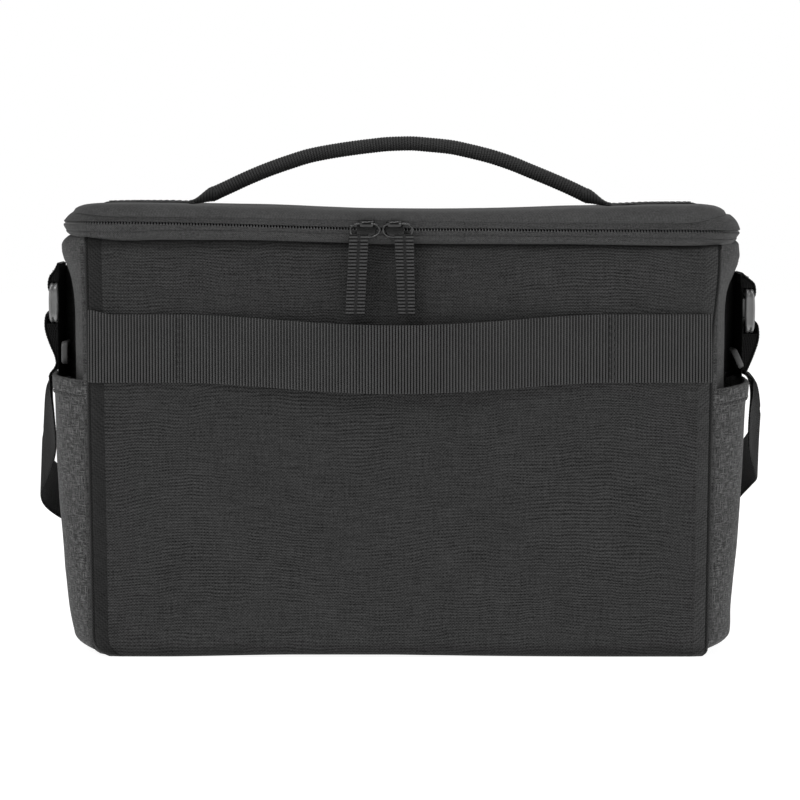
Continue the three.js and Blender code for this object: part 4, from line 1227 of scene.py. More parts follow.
# ---------------------------------------------------------------------------------------
# side pockets
# ---------------------------------------------------------------------------------------
def pocket(side, left):
    x0, y0, z0, x1, y1, z1 = box(f"side_pocket_{side}")
    mouth = z1
    ys = stations(y0 + 0.2, y1 - 0.2, 3.0, 9, 0.8)
    tilt = 2.2 if left else 3.0

    def mouth_at(y):
        """The mouth climbs a little where it stands out."""
        t = np.clip(np.abs((y - SIDE_MID) / SIDE_DEEP), 0, 1)
        return mouth - tilt * t**3

    flare = 0.0 if left else 1.5

    def skin(y, z, off=0.0):
        t = np.clip(np.abs((y - SIDE_MID) / SIDE_DEEP), 0, 1)
        x = pocket_x(y, z, 1.5) + 0.7 * fbm(y / 24, z / 30, 51 if left else 57, 3) * (1 - t**6)
        x = x + flare * np.exp(-((mouth - z) / 13.0) ** 2) * (1 - t**4)
        x = x + (0.0 if left else 3.8) * np.exp(-((z / 15.0) ** 2)) * (1 - t**6)
        pinch = 1.7 * gauss(np.minimum(y - y0, y1 - y), 0, 1.4)
        return x + off - pinch

    v = np.concatenate([np.linspace(0, 0.93, 42), np.linspace(0.93, 1, 7)[1:]])
    Y, V = np.meshgrid(ys, v, indexing="ij")
    Z = mouth_at(Y) * (1 - V) + 10.0 * V
    X = skin(Y, Z)
    # round under to the base seam
    k = np.linspace(0, PI / 2, 9)[1:]
    deep = skin(ys, np.full_like(ys, 10.0)) - side_x(ys, np.full_like(ys, 4.5)) + 1.5
    Xb = (skin(ys, np.full_like(ys, 10.0)) - deep)[:, None] + deep[:, None] * np.cos(k)[None]
    Zb = 10.0 - 6.6 * np.sin(k)[None] + 0 * ys[:, None]
    X, Z = np.concatenate([X, Xb], 1), np.concatenate([Z, Zb], 1)
    Y = np.concatenate([Y, np.repeat(ys[:, None], len(k), 1)], 1)
    O = pts(X, Y, Z)
    N = grid_normals(O)
    N = N * np.sign(N[..., :1] + 1e-9)
    N[:, -9:] = unit(pts(np.maximum(N[:, -9:, 0], 0.05), N[:, -9:, 1], -np.abs(N[:, -9:, 2])))
    I = O - N * 1.15
    b = Build().slab(O, I, lip=0.15, rim_rows=3)
    o = put(b.make(f"{side}_pocket_cloth", MAT["pocket"], mirror_x=left), "body", f"side_pocket_{side}")
    # hem: the mouth turned over and sewn down
    hem_h = 10.0
    w = np.concatenate([[0, 0.02, 0.06, 0.12], np.linspace(0.22, 0.94, 8), [0.97, 1.0]])
    Yh, W = np.meshgrid(ys, w, indexing="ij")
    Zh = mouth_at(Yh) + 0.45 - hem_h * W
    fold = fall(W * hem_h, 1.3, 0.75)
    step = fall((1 - W) * hem_h, 0.9, 0.6)
    row = 0.8 * gauss(W * hem_h, 8.3, 0.6)
    Xh = skin(Yh, np.minimum(Zh, mouth_at(Yh)), 0.95) - fold - step - row
    Oh = pts(Xh, Yh, Zh)
    Ih = pts(skin(Yh, np.minimum(Zh, mouth_at(Yh)), -1.5), Yh, Zh)
    hb = Build().slab(Oh, Ih, lip=0.3, rim_rows=5)
    zl = mouth_at(ys) + 0.45 - 8.3
    sl = pts(skin(ys, zl, 0.95) - 0.45, ys, zl)
    hb.stitches(sl + [0.25, 0, 0], (1, 0, 0), length=2.6, gap=0.8, r=0.4, mat=1)
    h = put(hb.make(f"{side}_pocket_hem", [MAT["pocket"], MAT["thread_side"]], mirror_x=left), "body", f"pocket_hem_{side}")


pocket("left", True)
pocket("right", False)


# ---------------------------------------------------------------------------------------
# front pocket
# ---------------------------------------------------------------------------------------
def front_pocket():
    fx0, fy0, fz0, fx1, fy1, fz1 = box("front_pocket")
    tl, tu = box("front_zip_tape_lower"), box("front_zip_tape_upper")
    slot0, slot1, slot_w = tl[2] - 0.3, tu[5] + 0.3, tl[3] + 0.3

    # one closed shell: the face grid keeps the zip's slot open by two leaves
    def shell(b, za, zb, low):
        r = 8.0
        gus = np.linspace(0, 1, 8)[:-1]
        cor = np.linspace(0, PI / 2, 9)
        fxs = np.linspace(-1, 1, 81)[1:-1]
        prof = [(-fx1, fy0 + (fy1 - r - fy0) * g) for g in gus]
        prof += [(-fx1 + r - r * math.cos(c), fy1 - r + r * math.sin(c)) for c in cor]
        prof += [(f * (fx1 - r), fy1) for f in fxs]
        prof += [(fx1 - r + r * math.sin(c), fy1 - r + r * math.cos(c)) for c in cor]
        prof += [(fx1, fy0 + (fy1 - r - fy0) * g) for g in gus[::-1]]
        prof = np.array(prof)
        zs = np.linspace(za, zb, 50 if low else 12)
        P = np.zeros((len(prof), len(zs), 3))
        for j, z in enumerate(zs):
            q = prof.copy()
            if low:
                k = max(0.0, 1 - (z - fz0) / 9.0)
                pull = 9 * (1 - math.sqrt(max(0.0, 1 - k * k)))
                share = (q[:, 1] - fy0) / (fy1 - fy0)
                q[:, 1] -= pull * share
                q[:, 0] *= 1 - 0.012 * k * k
            wob = 0.5 * fbm(q[:, 0] / 42, z / 30, 81, 3) * np.clip((q[:, 1] - fy0) / 14, 0, 1)
            sag = 0.9 * math.sin(PI * np.clip((z - fz0) / (fz1 - fz0), 0, 1)) * np.exp(-(q[:, 0] / 95) ** 2)
            q[:, 1] = np.minimum(q[:, 1] - 0.9 + wob * 0.7 + sag * 0.5, fy1 + 0.8)
            P[:, j] = pts(q[:, 0], q[:, 1], z)
        N = grid_normals(P)
        N = N * np.sign((N[..., 1:2] * 0.7 + N[..., :1] * np.sign(P[..., :1]) * 0.7) + 1e-9)
        Q = P - N * 1.3
        b.slab(P, Q, lip=0.3)
        # close the bottom or the top with a flat strip back to the panel
        z_end = zs[0] if low else zs[-1]
        j = 0 if low else -1
        rim_o, rim_i = P[:, j], P[:, j].copy()
        rim_i[:, 1] = fy0
        rim_i[:, 0] = np.clip(rim_i[:, 0], -fx1 + 0.5, fx1 - 0.5)
        t = np.linspace(0, 1, 9)[:, None, None]
        S1 = rim_o[None] * (1 - t) + rim_i[None] * t
        S2 = S1 + [0, 0, 1.2 if low else -1.2]
        b.slab(S1, S2, lip=0.05, rim_rows=1)

    b = Build()
    shell(b, fz0 + 0.5, slot0, True)
    shell(b, slot1, fz1 - 0.4, False)
    # the two ends beyond the slot join the leaves
    for s in (-1, 1):
        xs = np.linspace(slot_w + 0.4, fx1 - 8, 6)
        c = np.linspace(0, PI / 2, 7)[1:]
        px = np.concatenate([xs, fx1 - 8 + 8 * np.sin(c), [fx1] * 6])
        py = np.concatenate([[fy1 - 0.9] * len(xs), fy1 - 0.9 - 8 + 8 * np.cos(c), np.linspace(fy1 - 10, fy0, 6)])
        zs = np.linspace(slot0 - 1.5, slot1 + 1.5, 10)
        X, Z = np.meshgrid(px * s, zs, indexing="ij")
        Yg = np.repeat(py[:, None], len(zs), 1)
        P = pts(X, Yg - 0.5, Z)
        Q = P.copy()
        Q[..., 0] -= s * 0.9
        Q[..., 1] -= 0.9
        b.slab(P, Q, lip=0.1, rim_rows=2)
    # sewn line below and above the zip
    for z in (slot0 - 2.2, slot1 + 2.2):
        x = np.linspace(-slot_w + 2, slot_w - 2, 200)
        y = fy1 - 0.9 + 0.35 * fbm(x / 42, z / 30, 81, 3) + 0.45 * math.sin(PI * (z - fz0) / (fz1 - fz0)) * np.exp(-(x / 95) ** 2)
        b.stitches(pts(x, y, z), (0, 1, 0), length=2.5, gap=0.9, r=0.3, mat=1)
    o = put(b.make("front_pocket_cloth", [MAT["side"], MAT["thread_side"]]), "body", "front_pocket")

    # zip halves across the pocket
    for nm, bx, low in (("lower", tl, True), ("upper", tu, False)):
        x = np.linspace(bx[0], bx[3], 900)
        edge, root = (bx[5], bx[2]) if low else (bx[2], bx[5])
        sg = 1 if low else -1
        ym = (bx[1] + bx[4]) / 2
        teeth = 0.15 * np.sign(np.sin(2 * PI * x / 1.62)) * np.abs(np.sin(2 * PI * x / 1.62)) ** 0.5
        zs = root - sg * 1.0 + (edge - root + sg * 1.0) * np.linspace(0, 1, 12)
        sec = [(0.55, z) for z in zs] + [(0.0, edge + sg * 0.3)] + [(-0.6, z) for z in zs[::-1]]
        P = np.zeros((len(x), len(sec) + 1, 3))
        for c, (q, z) in enumerate(sec + sec[:1]):
            zz = z + (sg * teeth if abs(z - edge) < 0.6 else 0)
            P[:, c] = pts(x, ym + q, zz)
        bb = Build().grid(P)
        for kk in (0, -1):
            cc = P[kk, :-1].mean(0)
            bb.grid(np.stack([P[kk], np.broadcast_to(cc, P[kk].shape)]))
        mid = (tl[5] + tu[2]) / 2
        for q in np.arange(bx[0] + (1.0 if low else 1.8), bx[3] - 1, 1.62):
            bb.blob((q, ym - 0.1, mid - sg * 0.35), (0.42, 0.7, 1.2), (1, 1), nu=8, nv=6, mat=1)
        put(bb.make(f"front_zip_{nm}", [MAT["tape"], MAT["coil"]], weld=0.002), "body", f"front_zip_tape_{nm}")


front_pocket()


# ---------------------------------------------------------------------------------------
# sliders, bails and pull tapes
# ---------------------------------------------------------------------------------------
BAIL_Y, BAIL_TOP, BAIL_BOTTOM, BAIL_W, WIRE = -4.45, 3.6, -3.6, 7.8, 0.52


def zip_pull(prefix, at, turned, bail_dx, tape_dx, mirror, lean=0.0, narrow=0.0):
    s = -1 if turned else 1
    put_at = lambda o: o
    origin = np.array(at, float)

    def place(b):
        for i, v in enumerate(b.v):
            v = v * [s, s, 1] if turned else v
            b.v[i] = v + origin
        return b

    # slider body: two plates, the post between, and the bridge that holds the bail
    b = Build()
    b.blob((0, -2.05, 0.1), (5.3, 0.95, 4.3), (0.55, 0.35), nu=36, nv=20)
    b.blob((0, 2.8, 0.0), (4.7, 0.85, 3.9), (0.5, 0.35), nu=28, nv=14)
    b.blob((0, 0.4, 0.0), (2.6, 2.3, 0.33), (0.5, 0.6), nu=16, nv=8)
    for x in (-3.9, 3.9):
        b.blob((x, -0.9, 0.0), (1.0, 0.9, 0.33), (0.6, 0.6), nu=12, nv=8)
    c = np.linspace(-0.15 * PI, 1.15 * PI, 25)
    arch = pts(4.1 * np.cos(c), -2.7 - 2.9 * np.sin(c).clip(-0.2, 1) ** 1.0, 3.2 + 0 * c)
    w = 1.35 + 0.35 * np.abs(np.cos(c))
    a = np.linspace(0, 2 * PI, 17)[:-1]
    sec = np.stack([np.outer(w, np.cos(a)), 0.55 * np.broadcast_to(np.sin(a), (len(c), 16))], -1)
    b.sweep(arch, sec, across=(0, 0, 1))
    o = place(b).make(f"{prefix}_slider_body", MAT["slider"], sharp=60)
    put(o, f"{prefix}_zip", f"{prefix}_slider")

    # bail: a bent wire, wide at the top and narrowing to the tape
    t = np.linspace(0, 2 * PI, 97)[:-1]
    ct, st = np.cos(t), np.sin(t)
    mid, hh = (BAIL_TOP + BAIL_BOTTOM) / 2, (BAIL_TOP - BAIL_BOTTOM) / 2
    x = BAIL_W * np.sign(ct) * np.abs(ct) ** 0.62
    z = mid + hh * np.sign(st) * np.abs(st) ** 0.62
    x = x * (1 - 0.16 * smooth01((mid - z) / hh) * (np.sign(x) == mirror))
    path = pts(x + bail_dx, BAIL_Y - 0.25 * np.cos(t * 2), z)
    b = Build().sweep(path, WIRE * np.stack([np.cos(a), np.sin(a)], 1), across=(0, 1, 0), closed=True)
    o = place(b).make(f"{prefix}_bail_wire", MAT["wire"])
    put(o, f"{prefix}_pull", f"{prefix}_pull_bail")

    # pull tape: ladder webbing folded over the bail and sewn to itself
    width, long_, half_t, head = 10.3, 41.9, 1.1, 1.5
    top, tail = BAIL_BOTTOM, BAIL_BOTTOM - long_
    front = [(-half_t, z) for z in np.linspace(tail + 0.7, top - 1.2, 230)]
    over = [(-head * math.cos(q), top + head * math.sin(q)) for q in np.linspace(0.1, PI - 0.1, 17)]
    behind = [(half_t, z) for z in np.linspace(top - 1.2, tail + 0.7, 230)]
    under = [(half_t * math.cos(q), tail + 0.7 - 0.7 * math.sin(q)) for q in np.linspace(0.15, PI - 0.15, 9)]
    loop = np.array(front + over + behind + under)
    xs = np.concatenate([[-1, -0.985, -0.94], np.linspace(-0.86, 0.86, 21), [0.94, 0.985, 1]]) * width / 2
    L, X = np.meshgrid(np.arange(len(loop)), xs, indexing="ij")
    yy, zz = loop[:, 0][L], loop[:, 1][L]
    along = top - zz
    pitch = 1.85
    rib = np.abs(np.cos(PI * along / pitch)) ** 0.9
    mid_part = smooth01((along - 3.2) / 1.0) * smooth01((long_ - 3.6 - along) / 1.0)
    groove = np.exp(-((X / 0.85) ** 2)) * mid_part
    edge_flat = smooth01((np.abs(X) - (width / 2 - 0.75)) / 0.5)
    on_face = np.abs(np.abs(yy) - half_t) < 1e-6
    lift = np.where(on_face, 0.75 * rib * (1 - groove * 0.9) * (1 - 0.5 * edge_flat) - 0.22 - 0.12 * groove, 0)
    round_x = fall(width / 2 - np.abs(X), 0.9, 0.55)
    sgn = np.sign(yy)
    Yp = BAIL_Y + yy + sgn * (lift - np.where(on_face, round_x, 0))
    P = pts(X * (1 - narrow * along / long_) + tape_dx + lean * along / long_, Yp, zz)
    P = np.concatenate([P, P[:1]])
    arc = np.concatenate([[0], np.cumsum(np.hypot(*np.diff(loop, axis=0).T))])
    uvu = np.concatenate([along, along[:1]])
    UV = np.stack([uvu, np.concatenate([X, X[:1]]) + 10], -1) * MM
    b = Build().grid(P, UV)
    nf, nb = len(front), len(behind)
    for k in (0, -1):
        fr, bk = P[:nf, k], P[nf + len(over):nf + len(over) + nb, k][::-1]
        tt = np.linspace(0, 1, 4)[:, None, None]
        b.grid(fr[None] * (1 - tt) + bk[None] * tt + np.array([np.sign(xs[k]) * 0.12, 0, 0]) * np.sin(PI * tt), np.zeros((4, nf, 2)) + 0.003)
        oc = P[nf - 1:nf + len(over) + 1, k]
        cc = oc.mean(0)
        b.grid(np.stack([oc, np.broadcast_to(cc, oc.shape)]), np.zeros((2, len(oc), 2)))
        ub = np.concatenate([P[nf + len(over) + nb - 1:, k][:-1], P[:1, k]])
        cc = ub.mean(0)
        b.grid(np.stack([ub, np.broadcast_to(cc, ub.shape)]), np.zeros((2, len(ub), 2)))
    o = place(b).make(f"{prefix}_pull_webbing", MAT["pull"], weld=0.003, sharp=60)
    put(o, f"{prefix}_pull", f"{prefix}_pull_tape")


ZIP_Y = -86.45
zip_pull("left", (-18.0, ZIP_Y, 231.8), False, -0.9, -4.1, 1, -2.1)
zip_pull("right", (-3.0, ZIP_Y, 231.8), False, 1.7, 5.2, -1, 1.4, 0.12)
zip_pull("front", (122.0, 85.0, 167.9), True, 0.0, 0.0, 0)


# ---------------------------------------------------------------------------------------
# strap, rings and adjusters
# ---------------------------------------------------------------------------------------
STRAP_W, STRAP_T = 38.0, 1.5
RING_Y = 2.0
TAB = [(190.6, 212.2), (190.7, 208), (191.0, 203), (191.4, 200), (191.8, 197.8), (193.0, 196.2), (194.9, 195.7), (196.8, 196.2), (197.8, 198),
       (198.0, 201.5), (197.2, 204.6), (194.4, 208.6), (190.9, 212.4)]
LOOP = [(191.2, 157), (191.3, 166), (191.5, 176), (191.9, 182.6), (193.0, 185.0), (194.9, 185.9), (197.2, 185.7), (199.2, 183.6), (199.9, 180.5),
        (199.8, 175.5), (197.6, 168), (194.4, 160.2), (192.6, 155.6)]
RUN = [(190.9, 210.5), (190.9, 204), (190.9, 190), (191.0, 175), (190.9, 163), (190.6, 154), (190.4, 149.2)]
STRAP_LINE = [(192.2, 2.0, 157.2), (194.0, 2.0, 154.0), (196.9, 2.3, 150.2), (198.4, 2.9, 145.6), (199.6, 7, 134), (202.6, 18, 117), (205.6, 31, 102), (207.4, 44, 91), (206.6, 55, 83.5), (202.5, 66, 77),
              (194, 77, 70.5), (181, 87, 61), (164, 96, 48), (145, 105, 34), (126, 113, 22), (108, 120.5, 13), (84, 127, 9.7)]
STRAP_ACROSS = [(0, 1, 0), (0, 1, 0), (0, 1, 0.02), (0, 1, 0.08), (0, 1, 0.4), (0, 1, 0.7), (0, 1, 0.9), (0, 1, 1), (0, 1, 1), (0, 1, 0.95),
                (0, 1, 0.9), (0, 1, 0.8), (0, 1, 0.6), (0, 1, 0.4), (0, 1, 0.15), (0, 1, 0), (0, 1, 0)]


def ribbon(b, line, across, width=STRAP_W, thick=STRAP_T, pitch=1.6, mat=0):
    """A strip of webbing along a line, ribbed across, with a saw-toothed selvedge."""
    n = len(line)
    s = np.linspace(0, length_of(line), n)
    rib = np.abs(np.cos(PI * s / pitch)) ** 0.8
    k = np.concatenate([[-1, -0.97, -0.92], np.linspace(-0.84, 0.84, 12), [0.92, 0.97, 1]])
    half = thick / 2
    edge = np.where(np.abs(k) > 0.9, 1 - ((np.abs(k) - 0.9) / 0.1) ** 2 * 0.65, 1)
    sec = np.zeros((n, 2 * len(k), 2))
    for i in range(n):
        w = width / 2 - 0.25 + 0.25 * rib[i]
        t = (half - 0.16 + 0.16 * rib[i]) * edge
        sec[i, :len(k), 0], sec[i, :len(k), 1] = k * w, t
        sec[i, len(k):, 0], sec[i, len(k):, 1] = k[::-1] * w, -t[::-1]
    b.sweep(line, sec, across=across, mat=mat)
    return b


def xz_line(rows, n):
    p = catmull([(x, z) for x, z in rows], n)
    return pts(p[:, 0], RING_Y, p[:, 1])


def round_rect(hw, hh, r, n=24):
    c = np.linspace(0, PI / 2, n // 4 + 2)
    out = []
    for k, (sx, sz) in enumerate([(1, 1), (-1, 1), (-1, -1), (1, -1)]):
        q = c + k * PI / 2
        out.append(np.stack([sx * (hw - r) + r * np.cos(q), sz * (hh - r) + r * np.sin(q)], 1))
    return np.concatenate(out)


def frame_loop(b, centre, hw, hh, wide, deep, corner, tilt=0.0, groove=0.0, mat=0, n=160):
    """A bar of rounded section bent into a rectangle in the y-z plane; wide is along x, deep in the plane."""
    path2 = round_rect(hw, hh, corner)
    path2 = even(np.concatenate([path2, path2[:1]]), n + 1)[:-1]
    path = pts(0, path2[:, 0], path2[:, 1])
    a = np.linspace(0, 2 * PI, 25)[:-1]
    ca, sa = np.cos(a), np.sin(a)
    sx = wide / 2 * np.sign(ca) * np.abs(ca) ** 0.55
    sy = deep / 2 * np.sign(sa) * np.abs(sa) ** 0.55
    sy = sy - groove * np.sign(sa) * np.exp(-((sx / (0.14 * wide)) ** 2)) * (np.abs(sa) > 0.5)
    start = len(b.v)
    b.sweep(path, np.stack([sx, sy], 1), across=(1, 0, 0), closed=True, mat=mat)
    c, s = math.cos(tilt), math.sin(tilt)
    turn = np.array([[c, 0, s], [0, 1, 0], [-s, 0, c]])
    for i in range(start, len(b.v)):
        b.v[i] = b.v[i] @ turn.T + np.asarray(centre, float)
    return b


def filler(b, z0, z1, rows, x_in):
    """Webbing folded on itself between the two runs of a loop."""
    z = np.linspace(z0, z1, 24)
    y = np.linspace(RING_Y - 18.4, RING_Y + 18.4, 9)
    t = np.array(sorted([(r[1], r[0]) for r in rows]))
    x = np.interp(z, t[:, 0], t[:, 1]) - 0.55
    X, Y = np.meshgrid(np.maximum(x, x_in + 0.5), y, indexing="ij")
    Z = np.repeat(z[:, None], len(y), 1)
    b.slab(pts(X, Y, Z), pts(np.full_like(X, x_in), Y, Z), lip=0.15, rim_rows=2)
    return b


def strap_side(side, left):
    # the right-hand set hangs a little lower than the left
    low = 0.0 if left else -3.5

    def lowered(o):
        o.data.transform(Matrix.Translation((0, 0, low * MM)))
        return o

    # the left-hand set lies closer to the wall, the right-hand one stands out and hangs longer
    out = -1.6 if left else 0.5

    def moved(rows, drop=0.0, sink=0.0):
        return [(x + out * float(smooth01((x - 191.6) / 2.4)), z - drop - sink * float(smooth01((z - 203) / 8))) for x, z in rows]

    # tab sewn to the body, round the ring
    b = Build()
    tab = moved(TAB, sink=0.0 if left else 2.2)
    ribbon(b, xz_line(tab, 160), (0, 1, 0))
    for z in (208.0, 205.6):
        x = float(np.interp(z, [204.6, 208.6], [197.4, 194.6])) + 0.75 + (out if left else -0.9)
        b.stitches(pts(x, np.linspace(-15.5, 19.5, 60), z), (0.8, 0, 0.6), r=0.32, mat=1)
    filler(b, 202.0, 209.5 if left else 207.5, moved([(198.1, 201.5), (197.2, 204.6), (194.4, 208.6), (192.2, 211)], sink=0.0 if left else 2.2), 191.0)
    o = lowered(b.make(f"{side}_tab_webbing", [MAT["strap"], MAT["thread"]], mirror_x=left))
    put(o, "strap", f"strap_tab_{side}")
    # ring
    rb = box(f"strap_ring_{side}")
    zc, hz = (rb[2] + rb[5]) / 2, (rb[5] - rb[2]) / 2
    b = Build()
    longer = 0.0 if left else 1.1
    frame_loop(b, (194.9 + out, RING_Y, zc - longer), 23 - 1.75, hz - 1.5 + longer, 4.6, 2.8, 3.2, groove=0.6)
    # the bars are widest half way up
    for i in range(len(b.v)):
        v = b.v[i]
        t = np.clip((v[..., 2] - zc + longer) / (hz + longer), -1, 1)
        v[..., 0] = 194.9 + out + (v[..., 0] - 194.9 - out) * (0.86 + 0.38 * np.clip(1 - t**2, 0, 1) ** 0.7)
    o = lowered(b.make(f"{side}_ring_metal", MAT["ring"], mirror_x=left))
    put(o, "strap", f"strap_ring_{side}")
    # loop back to the adjuster
    b = Build()
    drop = 0.0 if left else 2.2
    ribbon(b, xz_line(moved(LOOP, drop), 160), (0, 1, 0))
    # the doubled run behind the ring, from the tab down to the adjuster
    ribbon(b, xz_line(RUN, 120), (-0.03, 1, 0), width=38.4, thick=1.0)
    filler(b, 158.5 - drop, 178.6 - drop, moved([(199.9, 180.5), (199.8, 175.5), (197.6, 168), (194.4, 160.2), (192.6, 155.6)], drop), 191.4)
    b.stitches(pts(199.6 + out, np.linspace(-15.5, 19.5, 60), 171.9 - drop), (1, 0, -0.3), r=0.32, mat=1)
    o = lowered(b.make(f"{side}_loop_webbing", [MAT["strap"], MAT["thread"]], mirror_x=left))
    put(o, "strap", f"strap_loop_{side}")
    # adjuster: a frame with a bar through the middle
    ab = box(f"strap_adjuster_{side}")
    zc, hz = (ab[2] + ab[5]) / 2, (ab[5] - ab[2]) / 2
    b = Build()
    tilt = math.radians(0 if left else -24)
    ax = 187.4 if left else 188.7
    frame_loop(b, (ax, RING_Y, zc), 23 - 1.7, (hz - 1.2) * (1.0 if left else 0.86), 3.6, 2.5, 2.6, tilt=tilt, n=120)
    a = np.linspace(0, 2 * PI, 17)[:-1]
    bar = pts(ax, np.linspace(RING_Y - 21, RING_Y + 21, 30), zc)
    b.sweep(bar, np.stack([1.35 * np.cos(a), 1.25 * np.sin(a)], 1), across=(1, 0, 0))
    o = lowered(b.make(f"{side}_adjuster", MAT["buckle"], mirror_x=left))
    put(o, "strap", f"strap_adjuster_{side}")
    # the strap itself
    b = Build()
    line = np.array(STRAP_LINE)
    flat = np.array(STRAP_ACROSS, float)
    # beside the pocket the strap turns its face a little to the back
    if left:
        line[:10, 0] = [191.8, 193.0, 195.7, 196.5, 197.9, 199.4, 203.0, 206.6, 206.4, 202.3]
        line[6:12, 2] += [1.5, 3, 3.5, 3, 2, 1]
        flat[2:8, 0] = [0, 0.05, 0.20, 0.30, 0.20, 0.06]
    else:
        line[:10, 0] = [192.2, 194.2, 196.8, 197.9, 200.0, 202.1, 205.1, 206.0, 204.3, 200.6]
        line[:4, 2] -= [4.4, 3.6, 2.4, 1.0]
        line[6:12, 2] += [6.5, 12.5, 15.5, 15, 11.5, 6.5]
        flat[2:8, 0] = [0, 0.06, 0.22, 0.30, 0.20, 0.06]
    both = catmull(np.concatenate([line, flat * 0.01], 1), 760)
    ribbon(b, both[:, :3], both[:, 3:] * 100)
    # the hanging strap takes the darker copy of the webbing: painted shade
    o = b.make(f"{side}_strap_webbing", MAT["strap_shaded"], mirror_x=left)
    put(o, "strap", f"shoulder_strap_{side}")


strap_side("right", False)
strap_side("left", True)


def side_webbing(side, left):
    """The black webbing sewn down the side wall behind the ring, its far edge standing out."""
    n = 150
    z = np.linspace(213.6, 148, n)
    rib = np.abs(np.cos(PI * (213.6 - z) / 1.6)) ** 0.8
    k = np.linspace(0, 1, 17)
    Zg, K = np.meshgrid(z, k, indexing="ij")
    ribs = np.repeat(rib[:, None], len(k), 1)
    y = -16.5 + 37 * K + (ribs - 0.5) * 0.4 * (np.where(K > 0.9, 1, 0) - np.where(K < 0.1, 1, 0))
    wall = side_x(y, Zg, left) + 0.25
    out = wall + 0.9 + K * 0 * Zg
    out = np.where(wall + 0.9 < 190.5, wall + 0.9 + (190.6 - wall - 0.9) * K * np.interp(Zg, [148, 156, 170, 209, 213.6], [1, 1, 1, 1, 0.6]), out)
    O = pts(out + 0.12 * ribs, y, Zg)
    I = pts(np.minimum(out - 0.9, out + 0.12 * ribs - 0.8), y, Zg)
    b = Build().slab(O, I, np.stack([213.6 - Zg, K * 37], -1) * MM, lip=0.2)
    for zz in (211.6, 150.5):
        i = int(np.argmin(np.abs(z - zz)))
        b.stitches(O[i, 1:-1] + [0.05, 0, 0], (1, 0, 0), r=0.3, mat=1)
    put(b.make(f"{side}_side_webbing", [MAT["strap"], MAT["thread"]], mirror_x=left), "body")


side_webbing("right", False)
side_webbing("left", True)


def shoulder_pad():
    x0, y0, z0, x1, y1, z1 = box("shoulder_pad")
    xs, vs = stations(x0 + 0.5, x1 - 0.5, 3.5, 12, 1.0), np.linspace(-1, 1, 49)
    X, V = np.meshgrid(xs, vs, indexing="ij")
    t = np.abs(X) / x1
    hw = (y1 - y0) / 2 * (1 - 0.16 * t**4) - 0.6
    hw = hw - fall(x1 - np.abs(X), 16, 14)
    ym = (y0 + y1) / 2
    Yg = ym + V * hw
    d = np.minimum((1 - np.abs(V)) * hw, x1 - np.abs(X))
    thick = (z1 - z0 - 0.4) * (1 - fall(d, 6, 0.62))
    quilt = 0.5 * gauss(np.abs(V * hw), 12.5, 0.9) + 0.35 * fbm(X / 22, V * 2, 91, 2)
    O = pts(X, Yg, z0 + 0.2 + thick - quilt)
    I = pts(X, Yg, z0 + 0.15 + fall(d, 4, 1.4))
    b = Build().slab(O, I, np.stack([X, V * hw], -1) * MM, lip=0.5)
    for s in (-1, 1):
        xl = np.linspace(x0 + 14, x1 - 14, 120)
        b.stitches(pts(xl, ym + s * 12.5, z1 - 0.85), (0, 0, 1), r=0.3, mat=1)
    # webbing that carries the pad
    xl = np.linspace(x0 + 9, x1 - 9, 400)
    k = np.linspace(-1, 1, 9)
    XX, KK = np.meshgrid(xl, k, indexing="ij")
    rib = 0.14 * np.abs(np.cos(PI * XX / 1.6)) ** 0.8
    top = pts(XX, ym + KK * 9.5, z1 - 0.35 + rib * 0.6 - 0.25 * KK**8)
    bot = pts(XX, ym + KK * 9.5, np.full_like(XX, z1 - 1.9))
    b.slab(top, bot, np.stack([XX, KK * 9.5], -1) * MM, lip=0.1, mat=2)
    o = b.make("shoulder_pad_cushion", [MAT["foam_mesh"], MAT["thread"], MAT["strap"]])
    put(o, "strap", "shoulder_pad")


shoulder_pad()


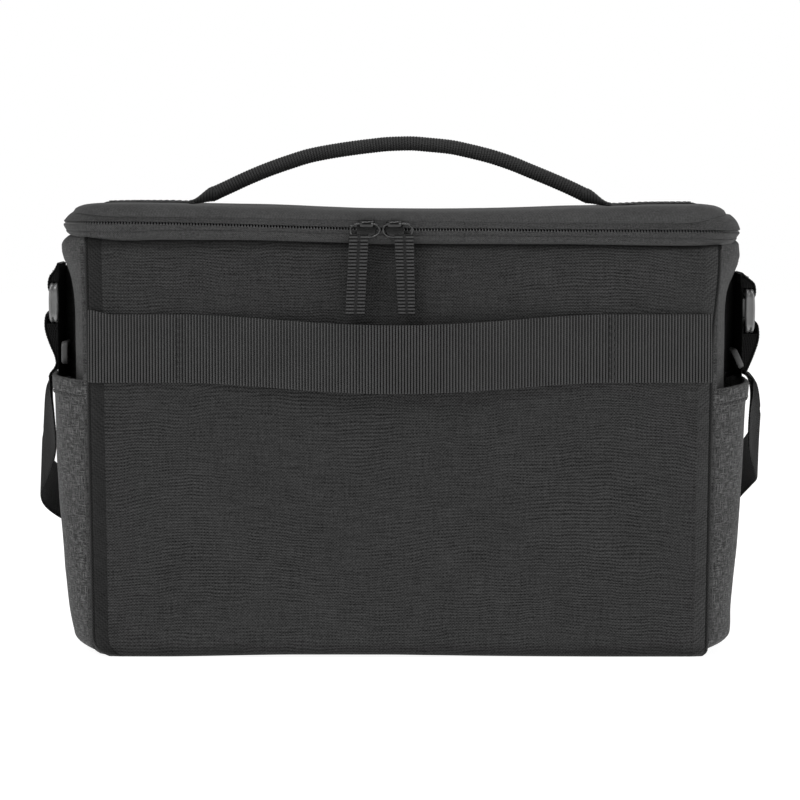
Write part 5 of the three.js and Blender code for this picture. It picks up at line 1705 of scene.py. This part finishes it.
# ---------------------------------------------------------------------------------------
# floor and light
# ---------------------------------------------------------------------------------------
def floor():
    n = 21
    g = np.linspace(-6, 6, n)
    X, Y = np.meshgrid(g, g, indexing="ij")
    mesh = bpy.data.meshes.new("floor")
    idx = np.arange(n * n).reshape(n, n)
    faces = np.stack([idx[:-1, :-1], idx[1:, :-1], idx[1:, 1:], idx[:-1, 1:]], -1).reshape(-1, 4)
    mesh.from_pydata(pts(X, Y, np.full_like(X, -0.0004)).reshape(-1, 3).tolist(), [], faces.tolist())
    m = Mat("pale_floor")
    co = m.node("ShaderNodeTexCoord").outputs["Object"]
    n1 = m.noise(co, 3.0, 2.0)
    m.set(Base_Color=m.tint((0.35, 0.35, 0.35), m.math("MULTIPLY_ADD", n1, 0.02, 0.99)), Roughness=0.7)
    m.bsdf.inputs["Specular IOR Level"].default_value = 0.2
    m.bsdf.inputs["Emission Color"].default_value = (1, 1, 1, 1)
    m.bsdf.inputs["Emission Strength"].default_value = 0.93
    mesh.materials.append(m.m)
    o = bpy.data.objects.new("floor", mesh)
    bpy.context.scene.collection.objects.link(o)


floor()


def area(name, at, aim, size, power, size_y=None):
    d = bpy.data.lights.new(name, "AREA")
    d.shape = "RECTANGLE"
    d.size, d.size_y = size, size_y or size
    d.energy = power
    o = bpy.data.objects.new(name, d)
    bpy.context.scene.collection.objects.link(o)
    o.location = at
    o.rotation_mode = "QUATERNION"
    o.rotation_quaternion = (Vector(aim) - Vector(at)).to_track_quat("-Z", "Y")
    o.visible_camera = False
    return o


area("key", (-1.5, -1.5, 2.1), (0, 0, 0.16), 0.8, 17)
area("left_side", (-2.4, -1.2, 0.8), (0, 0, 0.13), 1.3, 5)
area("right_side", (2.4, -1.2, 0.9), (0, 0, 0.13), 1.3, 14)
area("top", (0.1, -0.4, 2.4), (0, 0, 0.1), 1.2, 17)
area("rear", (0.3, 2.2, 1.5), (0, 0, 0.12), 1.4, 14)

world = bpy.data.worlds.new("world")
bpy.context.scene.world = world
world.use_nodes = True
wt = world.node_tree
wt.nodes.clear()
w_out = wt.nodes.new("ShaderNodeOutputWorld")
w_mix = wt.nodes.new("ShaderNodeMixShader")
w_path = wt.nodes.new("ShaderNodeLightPath")
w_lit = wt.nodes.new("ShaderNodeBackground")
w_see = wt.nodes.new("ShaderNodeBackground")
w_lit.inputs[0].default_value = (1, 1, 1, 1)
w_lit.inputs[1].default_value = 0.2
w_see.inputs[0].default_value = (1, 1, 1, 1)
w_see.inputs[1].default_value = 1.0
wt.links.new(w_path.outputs["Is Camera Ray"], w_mix.inputs[0])
wt.links.new(w_lit.outputs[0], w_mix.inputs[1])
wt.links.new(w_see.outputs[0], w_mix.inputs[2])
wt.links.new(w_mix.outputs[0], w_out.inputs[0])
bpy.context.scene.view_settings.view_transform = "Standard"
bpy.context.scene.view_settings.look = "None"
bpy.context.scene.view_settings.exposure = 0.0
bpy.context.scene.view_settings.gamma = 1.0
